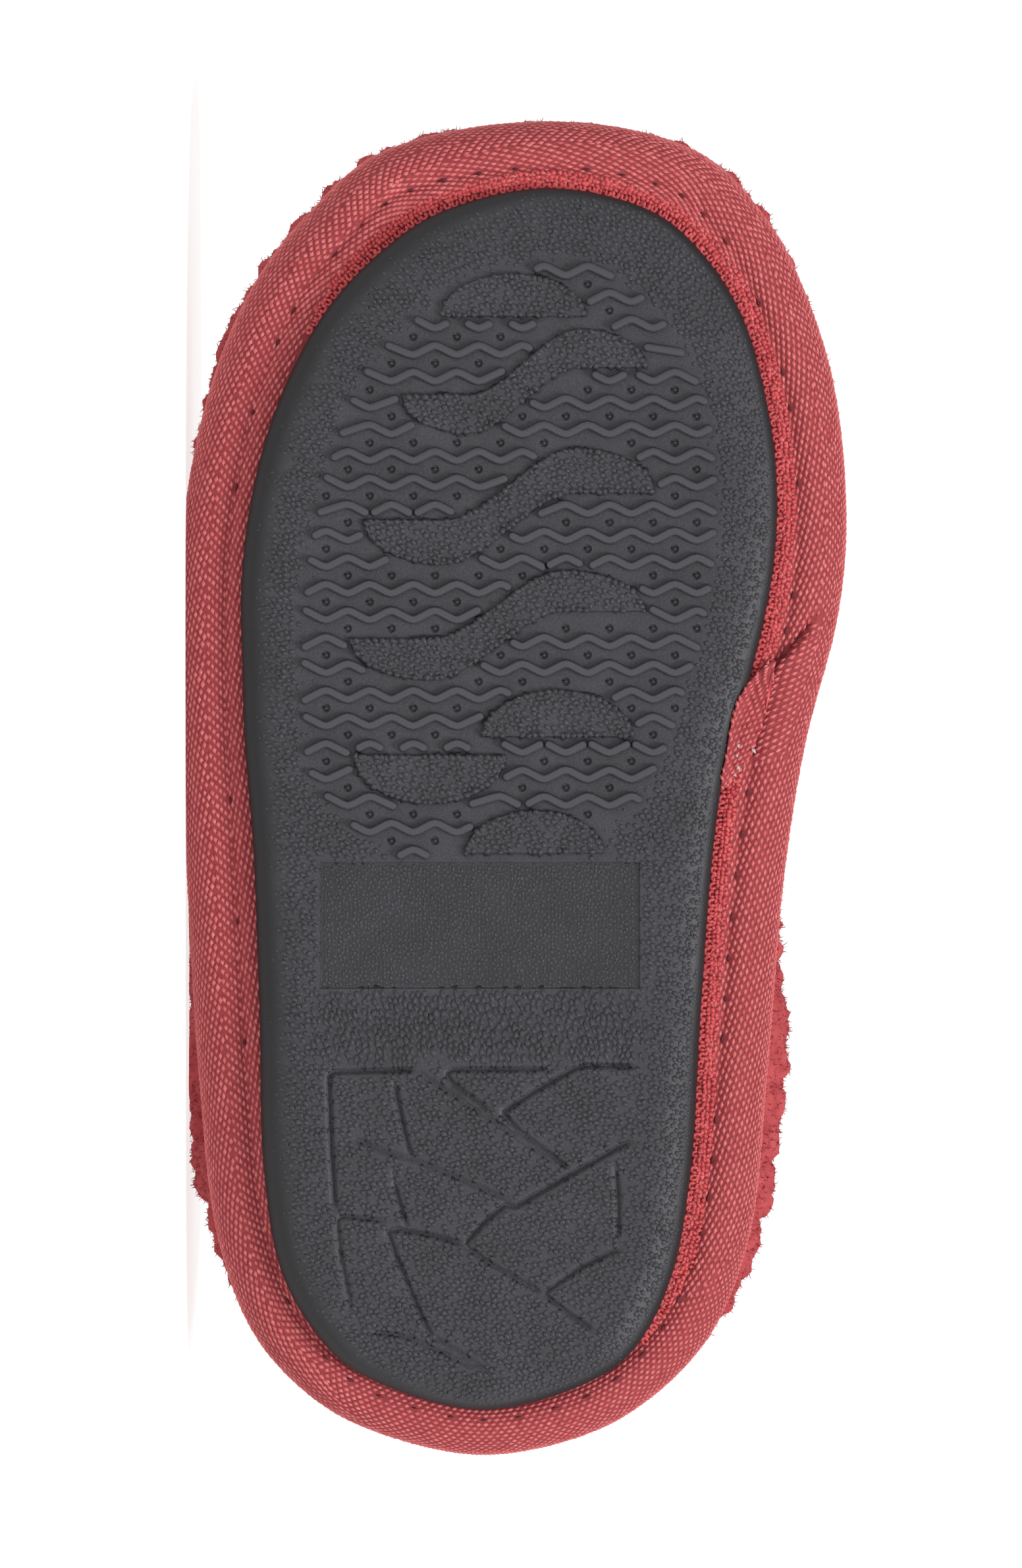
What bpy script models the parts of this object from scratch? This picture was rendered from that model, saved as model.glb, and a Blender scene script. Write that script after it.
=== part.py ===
"""A small child's shearling slipper for the right foot, lying on its outer side.

It is modelled standing and in millimetres. "Along" runs from the heel to the toe, "across" from the
outer (little toe) side to the inner side, and "up" from the face of the tread. An empty then lays the
slipper down with its outer side on the floor, its sole facing -Y and its toe pointing along -X.
"""
import math

import bmesh
import bpy
from mathutils import Vector
from mathutils.geometry import delaunay_2d_cdt

MM = 0.001

# Colours, as linear red, green and blue
RUBBER_BLACK = (0.066, 0.064, 0.073)
TAPE_RED = (0.445, 0.095, 0.097)
FLEECE_RED = (0.42, 0.075, 0.08)
INSOLE_RED = (0.40, 0.07, 0.075)

# Clearances and shared sizes
GAP = 0.3
FLOOR_REACH = 38.9  # distance from the long axis to the floor that the outer side lies on
TOE_SPRING = 4.0
SPRING_START = 112.0
RING_POINTS = 72
SPLINE_STEPS = 24  # fine points on each stretch of an outline, before they are spaced evenly
MERGE_DISTANCE = 1e-5
SHARPEST_MITRE = 0.5
SHARP_EDGE_DEG = 35.0

# Edge of the binding band, seen from below: along, distance to the outer edge, distance to the inner edge
BAND_HEEL_TIP = (0.0, -2.0)
BAND_TOE_TIP = (165.0, 6.9)
BAND_SECTIONS = (
    (2.2, 13.6, 9.7),
    (6.3, 22.2, 17.6),
    (14.4, 30.1, 25.6),
    (26.6, 34.8, 30.6),
    (47.0, 37.2, 32.9),
    (71.5, 38.7, 35.0),
    (87.8, 39.6, 37.6),
    (104.0, 39.8, 41.7),
    (116.0, 39.1, 42.7),
    (132.6, 35.6, 41.1),
    (144.8, 30.4, 37.2),
    (153.0, 24.2, 32.8),
    (161.1, 14.8, 24.6),
)

# Edge of the outsole, with the same columns
SOLE_HEEL_TIP = (5.8, -2.0)
SOLE_TOE_TIP = (156.4, 6.1)
SOLE_SECTIONS = (
    (10.3, 17.4, 13.0),
    (14.4, 22.1, 17.3),
    (22.6, 26.9, 21.2),
    (34.8, 29.1, 23.4),
    (55.0, 29.7, 24.7),
    (75.6, 30.5, 26.3),
    (87.8, 31.5, 28.2),
    (97.0, 31.8, 31.0),
    (108.0, 31.9, 33.4),
    (118.0, 30.7, 34.1),
    (128.5, 27.9, 33.1),
    (140.8, 21.8, 29.7),
    (148.9, 14.3, 24.4),
    (153.6, 7.0, 18.6),
)

# Outsole: a moulded tray with a rolled rim
TREAD_DEPTH = 0.8
SOLE_WALL = 2.4
RIM_RISE = 3.2
RIM_WIDTHS = ((5.0, 3.6), (30.0, 5.4), (80.0, 6.3), (125.0, 6.6), (157.0, 8.0))  # along, width
RIM_STEPS = (0.0, 0.07, 0.22, 0.45, 0.72)  # shares of the rim's width, from the edge inwards
LIP_HEIGHT = 0.8
LIP_WIDTH = 1.6
TRAY_INSET = 3.4

# Tread: zigzag bars in rows across the forefoot
ROW_COUNT = 23
ROW_PITCH = 3.26
FIRST_ROW = 146.0
HALF_PERIOD = 2.68
ZIGZAG_SWING = 0.7
BAR_FOOT = 1.0
BAR_TOP = 0.64
BAR_CLEARANCE = 1.0  # between the middle of a bar and the next raised shape
SHORTEST_BAR = 2.0
BAR_PROBE = 0.2  # step of the search for the clear stretches of a row
CORNER_MARGIN = 0.5  # a bar ends at least this far from a corner of its zigzag
TREAD_DRAFT = 0.22
# Limits of the zigzag field: along, outer limit, inner limit
TREAD_FIELD = (
    (73.0, -11.5, 9.0),
    (77.0, -17.4, 14.0),
    (83.0, -22.7, 18.3),
    (90.0, -23.8, 20.9),
    (99.5, -24.0, 24.0),
    (109.0, -23.4, 25.8),
    (119.0, -21.5, 26.2),
    (129.0, -18.3, 25.2),
    (135.6, -14.3, 22.6),
    (142.4, -6.0, 17.6),
    (147.0, 4.0, 12.4),
)

# Tread: S-shaped islands (along, across, half length, half height) and half lenses
# (along of the flat side, across, half length, rise towards the toe)
ISLAND_HEIGHT = 0.5
ISLAND_SHOULDER = 1.6
ISLAND_CREST_AT = 0.45  # share of the half length
ISLAND_STEPS = 10
S_ISLANDS = (
    (132.4, 2.9, 15.2, 6.5),
    (117.0, 1.1, 18.1, 7.2),
    (102.4, -0.4, 18.3, 6.8),
)
HALF_LENSES = (
    (140.3, 1.6, 9.0, 5.4),
    (88.6, 7.0, 9.4, 5.9),
    (86.5, -8.7, 9.4, -6.1),
    (74.3, 4.2, 8.6, 5.4),
)

# Tread: bare plate for the size at the waist, slightly sunk
SIZE_PLATE = ((57.7, -22.3), (73.3, -22.3), (73.3, 17.2), (57.7, 17.2))
SIZE_PLATE_DEPTH = 0.25

# Tread: angular plates under the heel, as corners (along, across)
HEEL_PLATES = (
    ((47.5, -21.0), (47.5, -13.8), (37.8, -12.2), (39.9, -20.6)),
    ((47.5, -12.7), (47.5, -10.4), (35.4, 6.8), (32.0, 1.3), (36.5, -10.4)),
    ((47.6, -6.6), (47.7, 5.6), (43.1, -0.8)),
    ((48.2, 9.8), (48.2, 16.1), (39.2, 15.9), (35.9, 7.5), (42.4, 0.4)),
    ((38.8, -20.7), (36.5, -13.9), (29.2, -12.6), (30.3, -20.4)),
    ((35.4, -12.8), (35.8, -11.0), (31.5, 0.0), (26.7, -4.3), (28.8, -11.3)),
    ((30.8, 0.8), (31.0, 2.2), (38.3, 15.5), (27.5, 14.4), (21.4, 5.0), (25.8, -3.6)),
    ((29.2, -19.8), (28.2, -15.0), (16.3, -10.6), (17.7, -17.6)),
    ((28.1, -13.8), (26.8, -6.8), (20.0, 4.7), (15.7, 10.3), (11.5, -0.8), (14.8, -8.3)),
    ((20.5, 5.6), (25.7, 14.8), (20.8, 15.1), (16.3, 11.0)),
)

# Binding band: rolled tape around the edge, with a ledge that the outsole and the insole sit on
BAND_BASE = 5.1
ROLL_RADIUS = 5.0
BAND_SIDE = 0.9  # straight height at the widest place
CROWN_RADIUS = 3.4
BAND_THICKNESS = 4.0
LEDGE_REACH = 10.5
LEDGE_THICKNESS = 1.6
ARC_STEPS = 6
# The tape's ends lap on the inner side of the waist
LAP_START = 74.0
LAP_END = 100.0
LAP_RISE = 0.5

# Upper: shearling shell
WALL = 3.0
COLLAR_SWELL = 1.0  # extra thickness of the wall at the collar
BELLY_HEIGHT = 23.0
COLLAR_CENTRE = (47.0, -1.5)
COLLAR_HALF_LENGTH = 36.0
COLLAR_HALF_WIDTH = 26.0
INSTEP_HEIGHT = 58.0
QUARTER_HEIGHT = 47.0
HEEL_HEIGHT = 54.0
TOE_FULLNESS = 2.6  # how long the wall stays upright before it leans in
QUARTER_FULLNESS = 1.8
FOOT_RISE = 4.0
FLARE_STEPS = (0.0, 0.2, 0.45, 0.72, 1.0)
DOME_STEPS = (0.13, 0.26, 0.39, 0.52, 0.65, 0.77, 0.89, 1.0)
RIM_ANGLES = (40.0, 90.0, 140.0)
INNER_ROW_STEP = 2  # the inner face needs only every other row
# How far the fleece stands out past the band's edge: along, on the outer side, on the inner side
FLARE = (
    (0.0, -3.0, -3.0),
    (14.0, -0.8, -0.3),
    (30.0, 1.6, 2.0),
    (50.0, 2.2, 2.4),
    (66.0, 1.6, 1.5),
    (82.0, 0.3, 0.0),
    (110.0, 0.2, -0.3),
    (135.0, 0.3, 0.2),
    (165.0, 0.6, 0.6),
)

# Insole: padded footbed with a lower part that fills the tray of the outsole
INSOLE_THICKNESS = 4.0
INSOLE_EDGE = 1.2
PLUG_INSET = 14.5


def table_value(table, along, column=1):
    """Smooth value of one column of a table whose first column is the distance along."""
    if along <= table[0][0]:
        return table[0][column]
    if along >= table[-1][0]:
        return table[-1][column]
    slopes = []
    for index in range(len(table)):
        before = table[max(index - 1, 0)]
        after = table[min(index + 1, len(table) - 1)]
        slopes.append((after[column] - before[column]) / (after[0] - before[0]))
    for index in range(len(table) - 1):
        low, high = table[index], table[index + 1]
        if along <= high[0]:
            break
    span = high[0] - low[0]
    t = (along - low[0]) / span
    rise = high[column] - low[column]
    ease = t * t * (3 - 2 * t)
    start = slopes[index] * span * t * (1 - t) ** 2
    end = slopes[index + 1] * span * t * t * (1 - t)
    return low[column] + rise * ease + start - end


def spline_point(points, index, t):
    """Point of a closed centripetal Catmull-Rom curve, after points[index]."""
    p0, p1, p2, p3 = (points[(index + shift) % len(points)] for shift in (-1, 0, 1, 2))
    k1 = math.sqrt((p1 - p0).length)
    k2 = k1 + math.sqrt((p2 - p1).length)
    k3 = k2 + math.sqrt((p3 - p2).length)
    k = k1 + (k2 - k1) * t
    a1 = p0.lerp(p1, k / k1)
    a2 = p1.lerp(p2, (k - k1) / (k2 - k1))
    a3 = p2.lerp(p3, (k - k2) / (k3 - k2))
    b1 = a1.lerp(a2, k / k2)
    b2 = a2.lerp(a3, (k - k1) / (k3 - k1))
    return b1.lerp(b2, (k - k1) / (k2 - k1))


def closed_outline(heel_tip, sections, toe_tip, count):
    """Evenly spaced points round an outline: heel tip, outer side, toe tip, inner side."""
    outer = [Vector((along, -reach)) for along, reach, _ in sections]
    inner = [Vector((along, reach)) for along, _, reach in reversed(sections)]
    corners = [Vector(heel_tip), *outer, Vector(toe_tip), *inner]
    shares = [step / SPLINE_STEPS for step in range(SPLINE_STEPS)]
    stretches = [(index, share) for index in range(len(corners)) for share in shares]
    fine = [spline_point(corners, *stretch) for stretch in stretches]
    lengths = [0.0]
    for index, point in enumerate(fine):
        lengths.append(lengths[-1] + (fine[(index + 1) % len(fine)] - point).length)
    points = []
    index = 0
    for number in range(count):
        target = lengths[-1] * number / count
        while lengths[index + 1] < target:
            index += 1
        share = (target - lengths[index]) / (lengths[index + 1] - lengths[index])
        points.append(fine[index].lerp(fine[(index + 1) % len(fine)], share))
    return points


def inward(loop):
    """Unit vectors that point into a loop that runs anticlockwise seen from above."""
    normals = []
    for index in range(len(loop)):
        run = loop[(index + 1) % len(loop)] - loop[index - 1]
        normals.append(Vector((-run.y, run.x)).normalized())
    return normals


def inset(loop, amounts):
    """The loop moved inwards by one amount, or by one amount for each point."""
    if isinstance(amounts, float):
        amounts = [amounts] * len(loop)
    return [point + normal * amount for point, normal, amount in zip(loop, inward(loop), amounts)]


def toe_spring(along):
    share = max(0.0, (along - SPRING_START) / (BAND_TOE_TIP[0] - SPRING_START))
    return TOE_SPRING * share * share


def settle(along, across, up):
    """Lift the toe, flatten the side that lies on the floor, and go to metres."""
    return Vector((along, max(across, -FLOOR_REACH), up + toe_spring(along))) * MM


def ring(loop, up):
    return [settle(point.x, point.y, up) for point in loop]


class Shell:
    """Collects rings of points and the faces between them, as one mesh."""

    def __init__(self):
        self.points = []
        self.faces = []

    def add(self, points):
        first = len(self.points)
        self.points.extend(points)
        return list(range(first, len(self.points)))

    def skin(self, rings):
        """Quads between each ring of point numbers and the next."""
        for lower, upper in zip(rings, rings[1:]):
            for index in range(len(lower)):
                after = (index + 1) % len(lower)
                self.faces.append((lower[index], lower[after], upper[after], upper[index]))

    def cap(self, rim, loop, up, shapes=()):
        """Triangles that fill a ring, with raised or sunk shapes (outline, top outline, rise) inside it."""
        flat = list(loop)
        rises = [0.0] * len(loop)
        edges = [(index, (index + 1) % len(loop)) for index in range(len(loop))]
        for foot, top, rise in shapes:
            for outline, height in ((foot, 0.0), (top, rise)):
                first = len(flat)
                flat.extend(outline)
                rises.extend([height] * len(outline))
                edges.extend(
                    (first + index, first + (index + 1) % len(outline)) for index in range(len(outline))
                )
        found, _, triangles, origins, _, _ = delaunay_2d_cdt(flat, edges, [], 1, MERGE_DISTANCE)
        numbers = []
        for point, origin in zip(found, origins):
            if origin and origin[0] < len(rim):
                numbers.append(rim[origin[0]])
            else:
                height = rises[origin[0]] if origin else 0.0
                numbers.extend(self.add([settle(point.x, point.y, up - height)]))
        self.faces.extend(tuple(numbers[corner] for corner in triangle) for triangle in triangles)

    def to_object(self, name, colour, roughness, parent):
        mesh = bpy.data.meshes.new(name)
        mesh.from_pydata(self.points, [], self.faces)
        work = bmesh.new()
        work.from_mesh(mesh)
        bmesh.ops.recalc_face_normals(work, faces=work.faces)
        work.to_mesh(mesh)
        work.free()
        mesh.shade_smooth()
        mesh.set_sharp_from_angle(angle=math.radians(SHARP_EDGE_DEG))
        material = bpy.data.materials.new(name + "_material")
        material.use_nodes = True
        shader = material.node_tree.nodes["Principled BSDF"]
        shader.inputs["Base Color"].default_value = (*colour, 1.0)
        shader.inputs["Roughness"].default_value = roughness
        shader.inputs["Metallic"].default_value = 0.0
        mesh.materials.append(material)
        made = bpy.data.objects.new(name, mesh)
        made.parent = parent
        bpy.context.collection.objects.link(made)
        return made


def strip(path, half):
    """Outline of a bar along a path, cut square half a width past each end."""
    runs = [(after - before).normalized() for before, after in zip(path, path[1:])]
    points = list(path)
    points[0] = path[0] - runs[0] * half
    points[-1] = path[-1] + runs[-1] * half
    sides = []
    for index, point in enumerate(points):
        before = runs[max(index - 1, 0)]
        after = runs[min(index, len(runs) - 1)]
        left = Vector((-before.y - after.y, before.x + after.x)).normalized()
        reach = half / left.dot(Vector((-after.y, after.x)))
        sides.append(left * reach)
    return [p + s for p, s in zip(points, sides)] + [p - s for p, s in reversed(list(zip(points, sides)))]


def s_island(along, across, reach, crest):
    """Outline of an S-shaped island: its lower edge is its upper edge turned half round."""
    edge = []
    for step in range(-ISLAND_STEPS, ISLAND_STEPS + 1):
        t = step / ISLAND_STEPS
        if t < ISLAND_CREST_AT:
            ease = max((t + ISLAND_CREST_AT) / (2 * ISLAND_CREST_AT), 0.0)
            rise = -ISLAND_SHOULDER + (crest + ISLAND_SHOULDER) * ease * ease * (3 - 2 * ease)
        else:
            fall = (t - ISLAND_CREST_AT) / (1 - ISLAND_CREST_AT)
            rise = ISLAND_SHOULDER + (crest - ISLAND_SHOULDER) * math.sqrt(1 - fall * fall)
        edge.append(Vector((rise, t * reach)))
    turned = [-point for point in edge]
    return [Vector((along, across)) + point for point in edge[:-1] + turned[:-1]]


def half_lens(along, across, reach, rise):
    """Outline with one flat side and one arched side."""
    arch = [math.pi * step / ISLAND_STEPS for step in range(ISLAND_STEPS + 1)]
    return [Vector((along + rise * math.sin(a), across - reach * math.cos(a))) for a in arch]


def signed_area(loop):
    return sum(a.x * b.y - b.x * a.y for a, b in zip(loop, loop[1:] + loop[:1])) / 2


def mitred(loop, amount):
    """A smaller copy of an outline, with its sides moved inwards by an amount."""
    turn = 1.0 if signed_area(loop) > 0 else -1.0
    smaller = []
    for index, point in enumerate(loop):
        before = (point - loop[index - 1]).normalized()
        after = (loop[(index + 1) % len(loop)] - point).normalized()
        left = Vector((-before.y - after.y, before.x + after.x)).normalized()
        reach = amount / max(left.dot(Vector((-after.y, after.x))), SHARPEST_MITRE)
        smaller.append(point + left * reach * turn)
    return smaller


def inside(loop, point):
    within = False
    for a, b in zip(loop, loop[1:] + loop[:1]):
        if (a.y > point.y) != (b.y > point.y):
            if point.x < a.x + (b.x - a.x) * (point.y - a.y) / (b.y - a.y):
                within = not within
    return within


def distance_to(loop, point):
    nearest = math.inf
    for a, b in zip(loop, loop[1:] + loop[:1]):
        share = (point - a).dot(b - a) / (b - a).length_squared
        share = min(max(share, 0.0), 1.0)
        nearest = min(nearest, (a.lerp(b, share) - point).length)
    return nearest


def zigzag(row, across):
    """The middle of a row of zigzag tread at one place across; every other row is shifted half a period."""
    turns = across / HALF_PERIOD + row
    share = turns - math.floor(turns)
    swing = ZIGZAG_SWING * (1 - 2 * share)
    if math.floor(turns) % 2:
        swing = -swing
    return Vector((FIRST_ROW - row * ROW_PITCH + swing, across))


def zigzag_bars(row, obstacles):
    """The clear stretches of one row, as paths through the corners of the zigzag."""
    along = FIRST_ROW - row * ROW_PITCH
    left = table_value(TREAD_FIELD, along, 1)
    right = table_value(TREAD_FIELD, along, 2)
    runs = []
    for number in range(int((right - left) / BAR_PROBE) + 1):
        across = left + number * BAR_PROBE
        spot = zigzag(row, across)
        clear = not any(inside(loop, spot) or distance_to(loop, spot) < BAR_CLEARANCE for loop in obstacles)
        if clear and runs and runs[-1][1] > across - 1.5 * BAR_PROBE:
            runs[-1][1] = across
        elif clear:
            runs.append([across, across])
    bars = []
    for start, end in runs:
        if end - start < SHORTEST_BAR:
            continue
        corners = range(math.ceil(start / HALF_PERIOD), math.floor(end / HALF_PERIOD) + 1)
        turns = [corner * HALF_PERIOD for corner in corners]
        turns = [turn for turn in turns if start + CORNER_MARGIN < turn < end - CORNER_MARGIN]
        bars.append([zigzag(row, across) for across in (start, *turns, end)])
    return bars


def tread_shapes():
    """Every raised or sunk shape of the tread: outline at its foot, outline at its top, and rise."""
    islands = [s_island(*row) for row in S_ISLANDS] + [half_lens(*row) for row in HALF_LENSES]
    shapes = [(loop, mitred(loop, TREAD_DRAFT), ISLAND_HEIGHT) for loop in islands]
    plate = [Vector(corner) for corner in SIZE_PLATE]
    for row in range(ROW_COUNT):
        for bar in zigzag_bars(row, islands + [plate]):
            shapes.append((strip(bar, BAR_FOOT / 2), strip(bar, BAR_TOP / 2), TREAD_DEPTH))
    shapes.append((plate, mitred(plate, TREAD_DRAFT), -SIZE_PLATE_DEPTH))
    for corners in HEEL_PLATES:
        loop = [Vector(corner) for corner in corners]
        shapes.append((loop, mitred(loop, TREAD_DRAFT), TREAD_DEPTH))
    return shapes


def make_outsole(parent):
    """Black rubber tray: tread below, rolled rim, and a lip that the band's ledge lies on."""
    edge = closed_outline(SOLE_HEEL_TIP, SOLE_SECTIONS, SOLE_TOE_TIP, RING_POINTS)
    widths = [table_value(RIM_WIDTHS, point.x) for point in edge]
    shell = Shell()
    field = inset(edge, widths)
    field_ring = shell.add(ring(field, TREAD_DEPTH))
    rings = [field_ring]
    for share in reversed(RIM_STEPS):
        up = TREAD_DEPTH + RIM_RISE * (1 - math.sqrt(1 - (1 - share) ** 2))
        rings.append(shell.add(ring(inset(edge, [width * share for width in widths]), up)))
    lip = TREAD_DEPTH + RIM_RISE + LIP_HEIGHT
    rings.append(shell.add(ring(edge, lip)))
    rings.append(shell.add(ring(inset(edge, LIP_WIDTH), lip)))
    tray = inset(edge, TRAY_INSET)
    floor = TREAD_DEPTH + SOLE_WALL
    rings.append(shell.add(ring(tray, floor)))
    shell.skin(rings)
    shell.cap(field_ring, field, TREAD_DEPTH, tread_shapes())
    shell.cap(rings[-1], tray, floor)
    return shell.to_object("outsole", RUBBER_BLACK, 0.62, parent)


def lap_rise(along, across):
    """Extra thickness where one end of the tape lies over the other."""
    if across < 0 or not LAP_START < along < LAP_END:
        return 0.0
    return LAP_RISE * math.sin(math.pi * (along - LAP_START) / (LAP_END - LAP_START)) ** 0.5


def band_profile(rise):
    """Section of the rolled band, as (distance in from its edge, height), round from the ledge's tip."""
    turns = [math.radians(90 * step / ARC_STEPS) for step in range(ARC_STEPS + 1)]
    middle = BAND_BASE + ROLL_RADIUS
    roll_radius = ROLL_RADIUS + rise
    roll = [(ROLL_RADIUS - roll_radius * math.sin(a), middle - roll_radius * math.cos(a)) for a in turns]
    shoulder = middle + BAND_SIDE
    crown_run = CROWN_RADIUS + rise
    crown = [(CROWN_RADIUS - crown_run * math.cos(a), shoulder + CROWN_RADIUS * math.sin(a)) for a in turns]
    ledge = BAND_BASE + LEDGE_THICKNESS
    inside_wall = [(BAND_THICKNESS, shoulder + CROWN_RADIUS), (BAND_THICKNESS, ledge), (LEDGE_REACH, ledge)]
    return [(LEDGE_REACH, BAND_BASE), *roll, *crown, *inside_wall]


def make_binding_band(edge, parent):
    """Red twill tape rolled round the edge of the sole unit."""
    sections = []
    for point, normal in zip(edge, inward(edge)):
        profile = band_profile(lap_rise(point.x, point.y))
        spots = [(point + normal * depth, up) for depth, up in profile]
        sections.append([settle(spot.x, spot.y, up) for spot, up in spots])
    shell = Shell()
    rings = [shell.add(loop) for loop in zip(*sections)]
    shell.skin([*rings, rings[0]])
    return shell.to_object("binding_band", TAPE_RED, 0.8, parent)


def collar_point(direction):
    """Point of the collar's oval in a direction from its middle, with its height."""
    run = direction.normalized()
    reach = 1 / math.hypot(run.x / COLLAR_HALF_LENGTH, run.y / COLLAR_HALF_WIDTH)
    front = (INSTEP_HEIGHT - QUARTER_HEIGHT) * max(run.x, 0.0) ** 1.5
    back = (HEEL_HEIGHT - QUARTER_HEIGHT) * max(-run.x, 0.0) ** 2
    return Vector(COLLAR_CENTRE) + run * reach, QUARTER_HEIGHT + front + back


def upper_columns(edge):
    """Outer face of the shell: a column of points from its foot in the band up to the collar."""
    foot_inset = BAND_THICKNESS + GAP
    foot = BAND_BASE + LEDGE_THICKNESS + GAP
    pinch = BAND_BASE + ROLL_RADIUS + BAND_SIDE + CROWN_RADIUS + GAP
    columns = []
    for point, normal in zip(edge, inward(edge)):
        side = 1 if point.y < 0 else 2
        flare = table_value(FLARE, point.x, side)
        foot_point = point + normal * foot_inset
        column = [(foot_point, foot), (foot_point, foot + FOOT_RISE)]
        for share in FLARE_STEPS:
            depth = foot_inset - (foot_inset + flare) * math.sin(math.pi / 2 * share)
            column.append((point + normal * depth, pinch + (BELLY_HEIGHT - pinch) * share))
        belly = point - normal * flare
        direction = point - Vector(COLLAR_CENTRE)
        collar, collar_height = collar_point(direction)
        forward = max(direction.normalized().x, 0.0)
        fullness = QUARTER_FULLNESS + (TOE_FULLNESS - QUARTER_FULLNESS) * forward ** 2
        for share in DOME_STEPS:
            height = BELLY_HEIGHT + (collar_height - BELLY_HEIGHT) * share
            column.append((belly.lerp(collar, share ** fullness), height))
        columns.append([Vector((spot.x, spot.y, up)) for spot, up in column])
    return columns


def outward(columns, column, row):
    """Unit vector out of the shell's outer face at one point."""
    points = columns[column]
    rise = points[min(row + 1, len(points) - 1)] - points[max(row - 1, 0)]
    run = columns[(column + 1) % len(columns)][row] - columns[column - 1][row]
    return run.cross(rise).normalized()


def make_upper(edge, parent):
    """Shearling shell, pinched in at the band, open at the collar and underneath."""
    columns = upper_columns(edge)
    count = len(columns)
    rows = len(columns[0])
    first_dome_row = rows - len(DOME_STEPS)
    outer = [[columns[c][r] for c in range(count)] for r in range(rows)]
    inner = []
    walls = []
    for r in range(rows):
        share = max(0.0, (r - first_dome_row) / (rows - 1 - first_dome_row))
        wall = WALL + COLLAR_SWELL * share ** 3
        walls.append(wall)
        foot = r < 2
        inner.append([])
        for c in range(count):
            normal = outward(columns, c, r)
            if foot:
                normal = Vector((normal.x, normal.y, 0.0)).normalized()
            inner[-1].append(columns[c][r] - normal * wall)
    rim = []
    for angle in RIM_ANGLES:
        turn = math.radians(angle)
        rim.append([])
        for c in range(count):
            outside, within = outer[-1][c], inner[-1][c]
            lift = (columns[c][-1] - columns[c][-2]).normalized() * walls[-1] / 2 * math.sin(turn)
            rim[-1].append(outside.lerp(within, (1 - math.cos(turn)) / 2) + lift)
    shell = Shell()
    loops = outer + rim + inner[::-INNER_ROW_STEP]
    rings = [shell.add([settle(*point) for point in loop]) for loop in loops]
    shell.skin([*rings, rings[0]])
    return shell.to_object("upper", FLEECE_RED, 0.95, parent)


def make_insole(edge, parent):
    """Padded footbed on the band's ledge, whose lower part fills the tray of the outsole."""
    seat = BAND_BASE + LEDGE_THICKNESS + GAP
    side = BAND_THICKNESS + WALL + 2 * GAP
    top = seat + INSOLE_THICKNESS
    tray_floor = TREAD_DEPTH + SOLE_WALL + GAP
    profile = (
        (PLUG_INSET, tray_floor),
        (LEDGE_REACH + GAP, seat),
        (side, seat),
        (side, top - INSOLE_EDGE),
        (side + INSOLE_EDGE, top),
    )
    shell = Shell()
    loops = [inset(edge, float(depth)) for depth, _ in profile]
    rings = [shell.add(ring(loop, up)) for loop, (_, up) in zip(loops, profile)]
    shell.skin(rings)
    shell.cap(rings[0], loops[0], tray_floor)
    shell.cap(rings[-1], loops[-1], top)
    return shell.to_object("insole", INSOLE_RED, 0.95, parent)


def lay_down(carrier, pieces):
    """Turn the slipper onto its outer side, with the origin under the middle of its box on the floor."""
    points = [vertex.co for piece in pieces for vertex in piece.data.vertices]
    alongs = [point.x for point in points]
    heights = [point.z for point in points]
    carrier.rotation_euler = (math.radians(90), 0.0, math.radians(180))
    carrier.location = (
        (min(alongs) + max(alongs)) / 2,
        -(min(heights) + max(heights)) / 2,
        FLOOR_REACH * MM,
    )


def main():
    for thing in list(bpy.data.objects):
        bpy.data.objects.remove(thing, do_unlink=True)
    carrier = bpy.data.objects.new("slipper", None)
    bpy.context.collection.objects.link(carrier)
    edge = closed_outline(BAND_HEEL_TIP, BAND_SECTIONS, BAND_TOE_TIP, RING_POINTS)
    pieces = [
        make_outsole(carrier),
        make_binding_band(edge, carrier),
        make_insole(edge, carrier),
        make_upper(edge, carrier),
    ]
    lay_down(carrier, pieces)
    bpy.context.view_layer.update()


main()
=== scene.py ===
import math

import bmesh
import bpy
import numpy as np
from mathutils import Matrix, Vector, noise
from mathutils.geometry import delaunay_2d_cdt


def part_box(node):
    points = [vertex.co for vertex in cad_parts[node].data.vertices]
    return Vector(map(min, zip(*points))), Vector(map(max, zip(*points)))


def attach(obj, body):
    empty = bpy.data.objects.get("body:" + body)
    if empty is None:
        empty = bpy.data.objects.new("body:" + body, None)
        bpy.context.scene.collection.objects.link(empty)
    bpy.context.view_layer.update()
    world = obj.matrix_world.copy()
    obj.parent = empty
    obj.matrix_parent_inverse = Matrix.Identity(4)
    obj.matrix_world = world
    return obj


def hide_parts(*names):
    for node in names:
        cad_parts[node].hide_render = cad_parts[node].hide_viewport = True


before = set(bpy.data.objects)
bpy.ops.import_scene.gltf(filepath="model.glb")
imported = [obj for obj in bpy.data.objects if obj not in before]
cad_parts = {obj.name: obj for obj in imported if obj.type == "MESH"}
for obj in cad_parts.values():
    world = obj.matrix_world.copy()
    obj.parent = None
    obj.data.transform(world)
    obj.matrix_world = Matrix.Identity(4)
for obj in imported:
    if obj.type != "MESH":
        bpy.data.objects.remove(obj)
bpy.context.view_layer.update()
mm = 0.001
weldGap = 1e-5  # in a flat triangulation, points nearer than this count as one
insideOnly = 1  # and only the triangles inside the outline are kept

# The slipper's own millimetres: along (heel to toe), across (outer to inner side), up (from the tread).
# It lies on its outer side, so across runs up from the floor and up runs into the picture.
last = {"floorReach": 38.9, "toeSpring": 4.0, "springStart": 112.0, "springEnd": 165.0}
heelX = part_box("binding_band")[1].x
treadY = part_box("outsole")[0].y


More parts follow.
